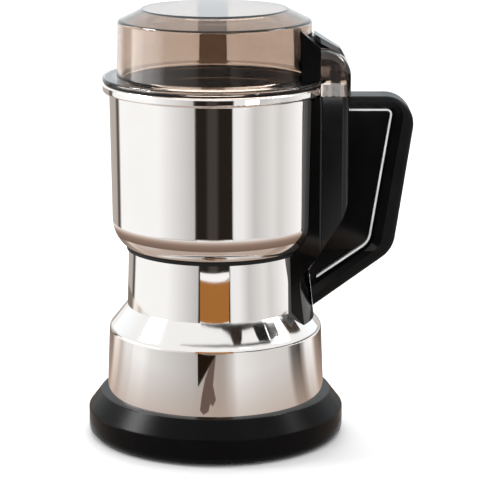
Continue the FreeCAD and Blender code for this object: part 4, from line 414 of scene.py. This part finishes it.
# Panels round the object
# White, grey and dark panels stand in four rings, and only polished surfaces see them. The inner ring
# shows in the drum, the next in neck and bowl, the third in the lid, and the last in all slopes.
RING_STEPS = 96
FRONT_ON_GRADIENT = 0.25
GREEN_SHARE = 0.6
WARM = (0.5, 0.38, 0.31)
WARM_MOST = 0.85
WARM_FROM = 0.4


def lit(brightness, warmth):
    """The colour of a panel: warmth is the share of blue that it lacks, and it lacks less green."""
    return [brightness, brightness * (1.0 - GREEN_SHARE * warmth), brightness * (1.0 - warmth)]


def glow(name, colour):
    """Even light of one colour."""
    shine = bpy.data.materials.new(name)
    shine.use_nodes = True
    tree = shine.node_tree
    tree.nodes.clear()
    lamp = tree.nodes.new("ShaderNodeEmission")
    out = tree.nodes.new("ShaderNodeOutputMaterial")
    strongest = max(colour)
    lamp.inputs["Color"].default_value = (*shaded(colour, 1.0 / strongest), 1.0)
    lamp.inputs["Strength"].default_value = strongest
    tree.links.new(lamp.outputs["Emission"], out.inputs["Surface"])
    return shine


def glow_round(name, panels, warm_within=None):
    """Light by direction, in degrees from the front towards the handle, warmer within a distance."""
    stops = []
    for turn, brightness, warmth in panels:
        stops.append(((FRONT_ON_GRADIENT + turn / 360.0) % 1.0, lit(brightness, warmth)))
    stops.sort()
    strongest = max(max(colour) for position, colour in stops)
    shine = glow(name, (strongest, strongest, strongest))
    tree = shine.node_tree
    lamp = tree.nodes["Emission"]
    where = tree.nodes.new("ShaderNodeTexCoord")
    round_about = tree.nodes.new("ShaderNodeTexGradient")
    round_about.gradient_type = "RADIAL"
    ramp = tree.nodes.new("ShaderNodeValToRGB")
    tree.links.new(where.outputs["Object"], round_about.inputs["Vector"])
    tree.links.new(round_about.outputs["Fac"], ramp.inputs["Fac"])
    tree.links.new(ramp.outputs["Color"], lamp.inputs["Color"])
    if warm_within is not None:
        reach = tree.nodes.new("ShaderNodeVectorMath")
        reach.operation = "LENGTH"
        fade = tree.nodes.new("ShaderNodeMapRange")
        fade.inputs["From Min"].default_value = warm_within * WARM_FROM
        fade.inputs["From Max"].default_value = warm_within
        fade.inputs["To Min"].default_value = WARM_MOST
        fade.inputs["To Max"].default_value = 0.0
        warm = tree.nodes.new("ShaderNodeMix")
        warm.data_type = "RGBA"
        warm.inputs["B"].default_value = (*shaded(WARM, 1.0 / strongest), 1.0)
        tree.links.new(where.outputs["Object"], reach.inputs[0])
        tree.links.new(reach.outputs["Value"], fade.inputs["Value"])
        tree.links.new(fade.outputs["Result"], warm.inputs["Factor"])
        tree.links.new(ramp.outputs["Color"], warm.inputs["A"])
        tree.links.new(warm.outputs["Result"], lamp.inputs["Color"])
    elements = ramp.color_ramp.elements
    elements.remove(elements[1])
    elements[0].position = stops[0][0]
    for position, colour in stops[1:]:
        elements.new(position)
    for element, (position, colour) in zip(elements, stops):
        element.color = (*shaded(colour, 1.0 / strongest), 1.0)
    return shine


def ring_round(profile):
    """The points and faces of a ring round the object; its profile gives radius and height."""
    rows = len(profile)
    points = []
    faces = []
    for k in range(RING_STEPS):
        turn = 2.0 * math.pi * k / RING_STEPS
        points += [(radius * math.cos(turn), radius * math.sin(turn), height) for radius, height in profile]
        for j in range(rows - 1):
            here = k * rows + j
            there = (k + 1) % RING_STEPS * rows + j
            faces.append((here, there, there + 1, here + 1))
    return points, faces


def panel_ring(name, profile, panels, warm_within=None):
    """A ring of panels, seen in reflections only; each panel gives turn, brightness and warmth."""
    stand(name, *ring_round(profile), glow_round(name, panels, warm_within), "glossy")


panel_ring("drum_ring", [(0.066, 0.0006), (0.31, 0.0006)], [
    (-179, 0.25, 0.2), (-137, 0.23, 0.31), (-132, 0.25, 0.3), (-124, 1.05, 0.18), (-116, 0.95, 0.18),
    (-110, 0.62, 0.19), (-101, 0.9, 0.02), (-75, 1.0, 0.0), (-66, 0.82, 0.02), (-46, 0.68, 0.03),
    (-21, 0.54, 0.07), (-17, 0.5, 0.08), (3, 0.42, 0.22), (9, 0.46, 0.2), (16, 0.65, 0.06),
    (21, 0.89, 0.02), (29, 0.85, 0.02), (48, 0.76, 0.05), (76, 0.71, 0.05), (82, 0.18, 0.14),
    (93, 0.08, 0.19), (99, 0.5, 0.08), (103, 0.95, 0.0), (115, 1.1, 0.04), (124, 0.34, 0.38),
    (140, 0.06, 0.26), (179, 0.25, 0.2),
], warm_within=0.24)
panel_ring("bowl_ring", [(0.31, 0.0006), (0.9, 0.0006), (0.92, 0.03)], [
    (-179, 0.5, 0.08), (-162, 0.5, 0.15), (-136, 0.5, 0.19), (-131, 0.1, 0.31), (-127, 0.1, 0.31),
    (-123, 1.05, 0.0), (-62, 1.05, 0.0), (-24, 0.6, 0.03), (-20.6, 0.58, 0.05), (-19.6, 0.02, 0.41),
    (-9, 0.02, 0.41), (-6, 0.06, 0.26), (2, 0.06, 0.26), (5, 0.02, 0.41), (18.6, 0.02, 0.41),
    (19.8, 0.95, 0.0), (30, 0.95, 0.0), (43, 0.62, 0.03), (64, 0.82, 0.02), (74, 0.72, 0.03),
    (104, 1.05, 0.0), (125, 1.0, 0.0), (150, 0.6, 0.03), (179, 0.5, 0.08),
])
panel_ring("lid_ring", [(0.92, 0.03), (1.0, 0.16)], [
    (-179, 1.0, 0.04), (-150, 1.0, 0.04), (-125, 0.4, 0.24), (-114, 1.0, 0.09), (-108, 5.5, 0.04),
    (-92, 5.0, 0.04), (-78, 4.2, 0.02), (-66, 3.0, 0.03), (-57, 1.0, 0.09), (-20, 0.6, 0.16),
    (-17, 0.02, 0.0), (17, 0.02, 0.0), (20, 0.4, 0.17), (27, 0.3, 0.17), (32, 0.05, 0.19),
    (60, 0.05, 0.19), (120, 0.2, 0.25), (179, 1.0, 0.04),
])
panel_ring("high_ring", [(1.0, 0.16), (1.2, 0.6), (1.3, 1.3), (0.9, 2.1), (0.02, 2.3)], [
    (-179, 1.1, -0.13), (-140, 1.1, -0.09), (-110, 1.0, 0.0), (110, 1.0, 0.0), (140, 1.1, -0.09),
    (179, 1.1, -0.13),
])

# Cards in front and behind
# Upright cards, in mm across and up. In front stand a brown one with a white edge for the neck, a dark
# flag and its fold for the drum, and a bright one for the lug. A dark strip behind shows through the lid.
CARD_Y = -0.12
BACKING_Y = 0.3
DARK_FLAG = (0.012, 0.01, 0.009)


def upright_card(name, colour, outline, y=CARD_Y, seen_by="glossy"):
    """A card that stands upright at y."""
    points = [(x / METRE_TO_MM, y, z / METRE_TO_MM) for x, z in outline]
    stand(name, points, [tuple(range(len(points)))], glow(name, colour), seen_by)


upright_card("neck_white", (1.05, 1.05, 1.05), [(-34, 66), (34, 66), (34, 70.5), (20, 71), (-34, 70.5)])
upright_card("neck_brown", (0.4, 0.16, 0.038), [(-34, 46), (33, 46), (33, 67.8), (22, 66.6), (-34, 66.8)])
upright_card("neck_line", (1.1, 1.0, 0.85), [(-34, 45.2), (33, 45.2), (33, 46), (-34, 46)])
upright_card("neck_shade", DARK_FLAG, [(-32, 36.4), (31, 36.4), (33, 45.2), (-34, 45.2)])
upright_card("drum_flag", (0.016, 0.008, 0.005), [(-31, 36), (2, 36), (-11, 29), (-30, 19)])
upright_card("drum_fold", (0.15, 0.1, 0.085), [
    (2, 36), (0, 30), (-3, 21), (2, 14), (-3, 11), (-8, 12), (-11, 8), (-20, 6), (-26, 8), (-23, 15),
    (-17, 24), (-9, 30),
])
upright_card("lug_gleam", (6.0, 6.0, 6.0), [(58, 146), (94, 146), (94, 153), (58, 153)])
upright_card(
    "lid_backing", (0.2, 0.13, 0.07), [(-14.4, 40), (5, 40), (5, 350), (-14.4, 350)],
    y=BACKING_Y, seen_by="transmission",
)

# Flags overhead
# Narrow bent flags above the object, which only the housing's shoulder reflects. The shoulder's foot
# and head are radius and height. An outline gives turns round it, and the lowest and highest place
# there as shares of its rise.
CAMERA_SPOT = (0.0116, -1.0047, 0.320)
SHOULDER_FOOT = (0.04985, 0.0517)
SHOULDER_HEAD = (0.0413, 0.0623)
FLAG_AWAY = 0.3
STRIP_STEP = 1.5


def seen_in_shoulder(turn, rise):
    """The place away from the housing that the camera sees in its shoulder, at turn and share of rise."""
    around = Vector((math.sin(math.radians(turn)), -math.cos(math.radians(turn)), 0.0))
    up = SHOULDER_HEAD[1] - SHOULDER_FOOT[1]
    inwards = SHOULDER_FOOT[0] - SHOULDER_HEAD[0]
    facing = (around * up + Vector((0.0, 0.0, inwards))).normalized()
    spot = around * (SHOULDER_FOOT[0] - inwards * rise)
    spot.z = SHOULDER_FOOT[1] + up * rise
    sight = (spot - Vector(CAMERA_SPOT)).normalized()
    return spot + sight.reflect(facing) * FLAG_AWAY


def overhead_strip(name, colour, outline):
    """A narrow flag overhead, given by its turns and the lowest and highest rise at each."""
    stations = []
    for start, end in zip(outline, outline[1:]):
        steps = max(1, round((end[0] - start[0]) / STRIP_STEP))
        stations += [[a + (b - a) * k / steps for a, b in zip(start, end)] for k in range(steps)]
    stations.append(outline[-1])
    points = []
    for turn, low, high in stations:
        points += [seen_in_shoulder(turn, low), seen_in_shoulder(turn, high)]
    faces = [(2 * k, 2 * k + 2, 2 * k + 3, 2 * k + 1) for k in range(len(stations) - 1)]
    stand(name, points, faces, glow(name, colour), "glossy")


overhead_strip("shade_line", DARK_FLAG, [
    (-8.4, 0.94, 1.03), (-1.5, 0.84, 1.03), (5.9, 0.76, 1.03), (10.9, 0.75, 1.0), (19.0, 0.74, 0.97),
    (26.3, 0.73, 0.96), (33.5, 0.75, 0.96), (42.4, 0.8, 0.97),
])
overhead_strip("shade_drop", (0.03, 0.017, 0.012), [
    (4.6, 0.74, 0.8), (9.3, 0.54, 0.8), (10.9, 0.21, 0.8), (14.2, 0.2, 0.8), (16.7, 0.66, 0.8),
    (21.8, 0.72, 0.78),
])
overhead_strip("shade_flag", DARK_FLAG, [(23.8, 0.73, 0.8), (25.4, 0.28, 0.8), (31.6, 0.27, 0.8)])
overhead_strip("shade_flag_right", DARK_FLAG, [(32.3, 0.27, 0.8), (38.3, 0.32, 0.84), (39.8, 0.33, 0.84)])
overhead_strip("shade_board", (0.06, 0.045, 0.035), [
    (45.3, 0.8, 0.87), (47.3, 0.34, 0.9), (52.9, 0.3, 0.91), (57.0, 0.34, 0.85),
])
overhead_strip("shade_foot", DARK_FLAG, [
    (-18.8, 0.19, 0.21), (0.4, 0.15, 0.26), (13.9, 0.14, 0.26), (26.6, 0.15, 0.26), (42.3, 0.22, 0.26),
])

# Skirt under the bowl
# Flat rings of warm light at the bowl's foot, brighter outwards in small steps. They are lit on top
# only, so that the bowl's corner reflects them and the shoulder below doesn't.
SKIRT_HEIGHT = 0.0885
SKIRT_STEPS = 3
SKIRT = [
    (0.0505, (0.2, 0.13, 0.1)),
    (0.06, (0.3, 0.21, 0.165)),
    (0.068, (0.55, 0.43, 0.37)),
    (0.078, (0.9, 0.85, 0.82)),
]


def glow_on_top(name, colour):
    """Light from the upper side only; the lower side is clear."""
    shine = glow(name, colour)
    tree = shine.node_tree
    side = tree.nodes.new("ShaderNodeNewGeometry")
    clear = tree.nodes.new("ShaderNodeBsdfTransparent")
    choose = tree.nodes.new("ShaderNodeMixShader")
    tree.links.new(side.outputs["Backfacing"], choose.inputs["Fac"])
    tree.links.new(tree.nodes["Emission"].outputs["Emission"], choose.inputs[1])
    tree.links.new(clear.outputs["BSDF"], choose.inputs[2])
    tree.links.new(choose.outputs["Shader"], tree.nodes["Material Output"].inputs["Surface"])
    return shine


for band, ((near, near_colour), (far, far_colour)) in enumerate(zip(SKIRT, SKIRT[1:])):
    for part in range(SKIRT_STEPS):
        name = f"skirt_{band}{part}"
        inner = near + (far - near) * part / SKIRT_STEPS
        outer = near + (far - near) * (part + 1) / SKIRT_STEPS
        share = (part + 0.5) / SKIRT_STEPS
        colour = [a + (b - a) * share for a, b in zip(near_colour, far_colour)]
        face_up = [(outer, SKIRT_HEIGHT), (inner, SKIRT_HEIGHT)]
        stand(name, *ring_round(face_up), glow_on_top(name, colour), "glossy")

# Lights
# White surroundings, a softbox at each side and a large one overhead. Two bright cards high at the
# sides put the soft gleams on the base's slope.
SURROUNDINGS = 0.92

world = bpy.data.worlds.new("studio")
bpy.context.scene.world = world
world.use_nodes = True
world.node_tree.nodes["Background"].inputs["Color"].default_value = (1.0, 1.0, 1.0, 1.0)
world.node_tree.nodes["Background"].inputs["Strength"].default_value = SURROUNDINGS
# Sampled as a lamp, the surroundings would light the blacks through the panels.
world.cycles.sampling_method = "NONE"


def softbox(name, spot, aim, size, power):
    """A square softbox at spot that faces aim."""
    lamp = bpy.data.lights.new(name, "AREA")
    lamp.size = size
    lamp.energy = power
    box = bpy.data.objects.new(name, lamp)
    box.location = spot
    box.rotation_euler = (Vector(aim) - Vector(spot)).to_track_quat("-Z", "Y").to_euler()
    bpy.context.scene.collection.objects.link(box)
    return box


def side_card(name, spot, half, strength):
    """A square card at spot that faces the base."""
    middle = Vector(spot)
    facing = middle.normalized()
    beside = facing.cross(Vector((0.0, 0.0, 1.0))).normalized() * half
    above = beside.cross(facing)
    corners = [middle + beside * x + above * y for x, y in SQUARE]
    stand(name, corners, [(0, 1, 2, 3)], glow(name, (strength, strength, strength)), "glossy")


softbox("key_light", spot=(-1.15, 0.08, 1.03), aim=(0.0, 0.0, 0.08), size=0.45, power=6.4)
softbox("side_light", spot=(1.15, 0.06, 1.06), aim=(0.0, 0.0, 0.08), size=0.45, power=1.9)
top_light = softbox("top_light", spot=(0.1, 0.6, 1.8), aim=(0.0, 0.0, 0.1), size=1.2, power=18.0)
top_light.visible_glossy = False
side_card("left_card", spot=(-0.78, 0.05, 0.7), half=0.13, strength=45.0)
side_card("right_card", spot=(0.78, 0.05, 0.74), half=0.11, strength=12.0)

# Camera
# It stands about 1 m away and a third of a metre up, and looks down a little through a long lens.
# Pitch is in degrees, lens and sensor are in mm.
CAMERA_PITCH = 12.8
CAMERA_LENS = 165.0
SENSOR = 36.0

lens = bpy.data.cameras.new("camera")
lens.lens = CAMERA_LENS
lens.sensor_width = SENSOR
lens.clip_start = 0.05
lens.clip_end = 50.0
camera = bpy.data.objects.new("camera", lens)
camera.location = CAMERA_SPOT
camera.rotation_euler = (math.radians(90.0 - CAMERA_PITCH), 0.0, 0.0)
bpy.context.scene.collection.objects.link(camera)
bpy.context.scene.camera = camera
bpy.context.scene.view_settings.view_transform = "Standard"
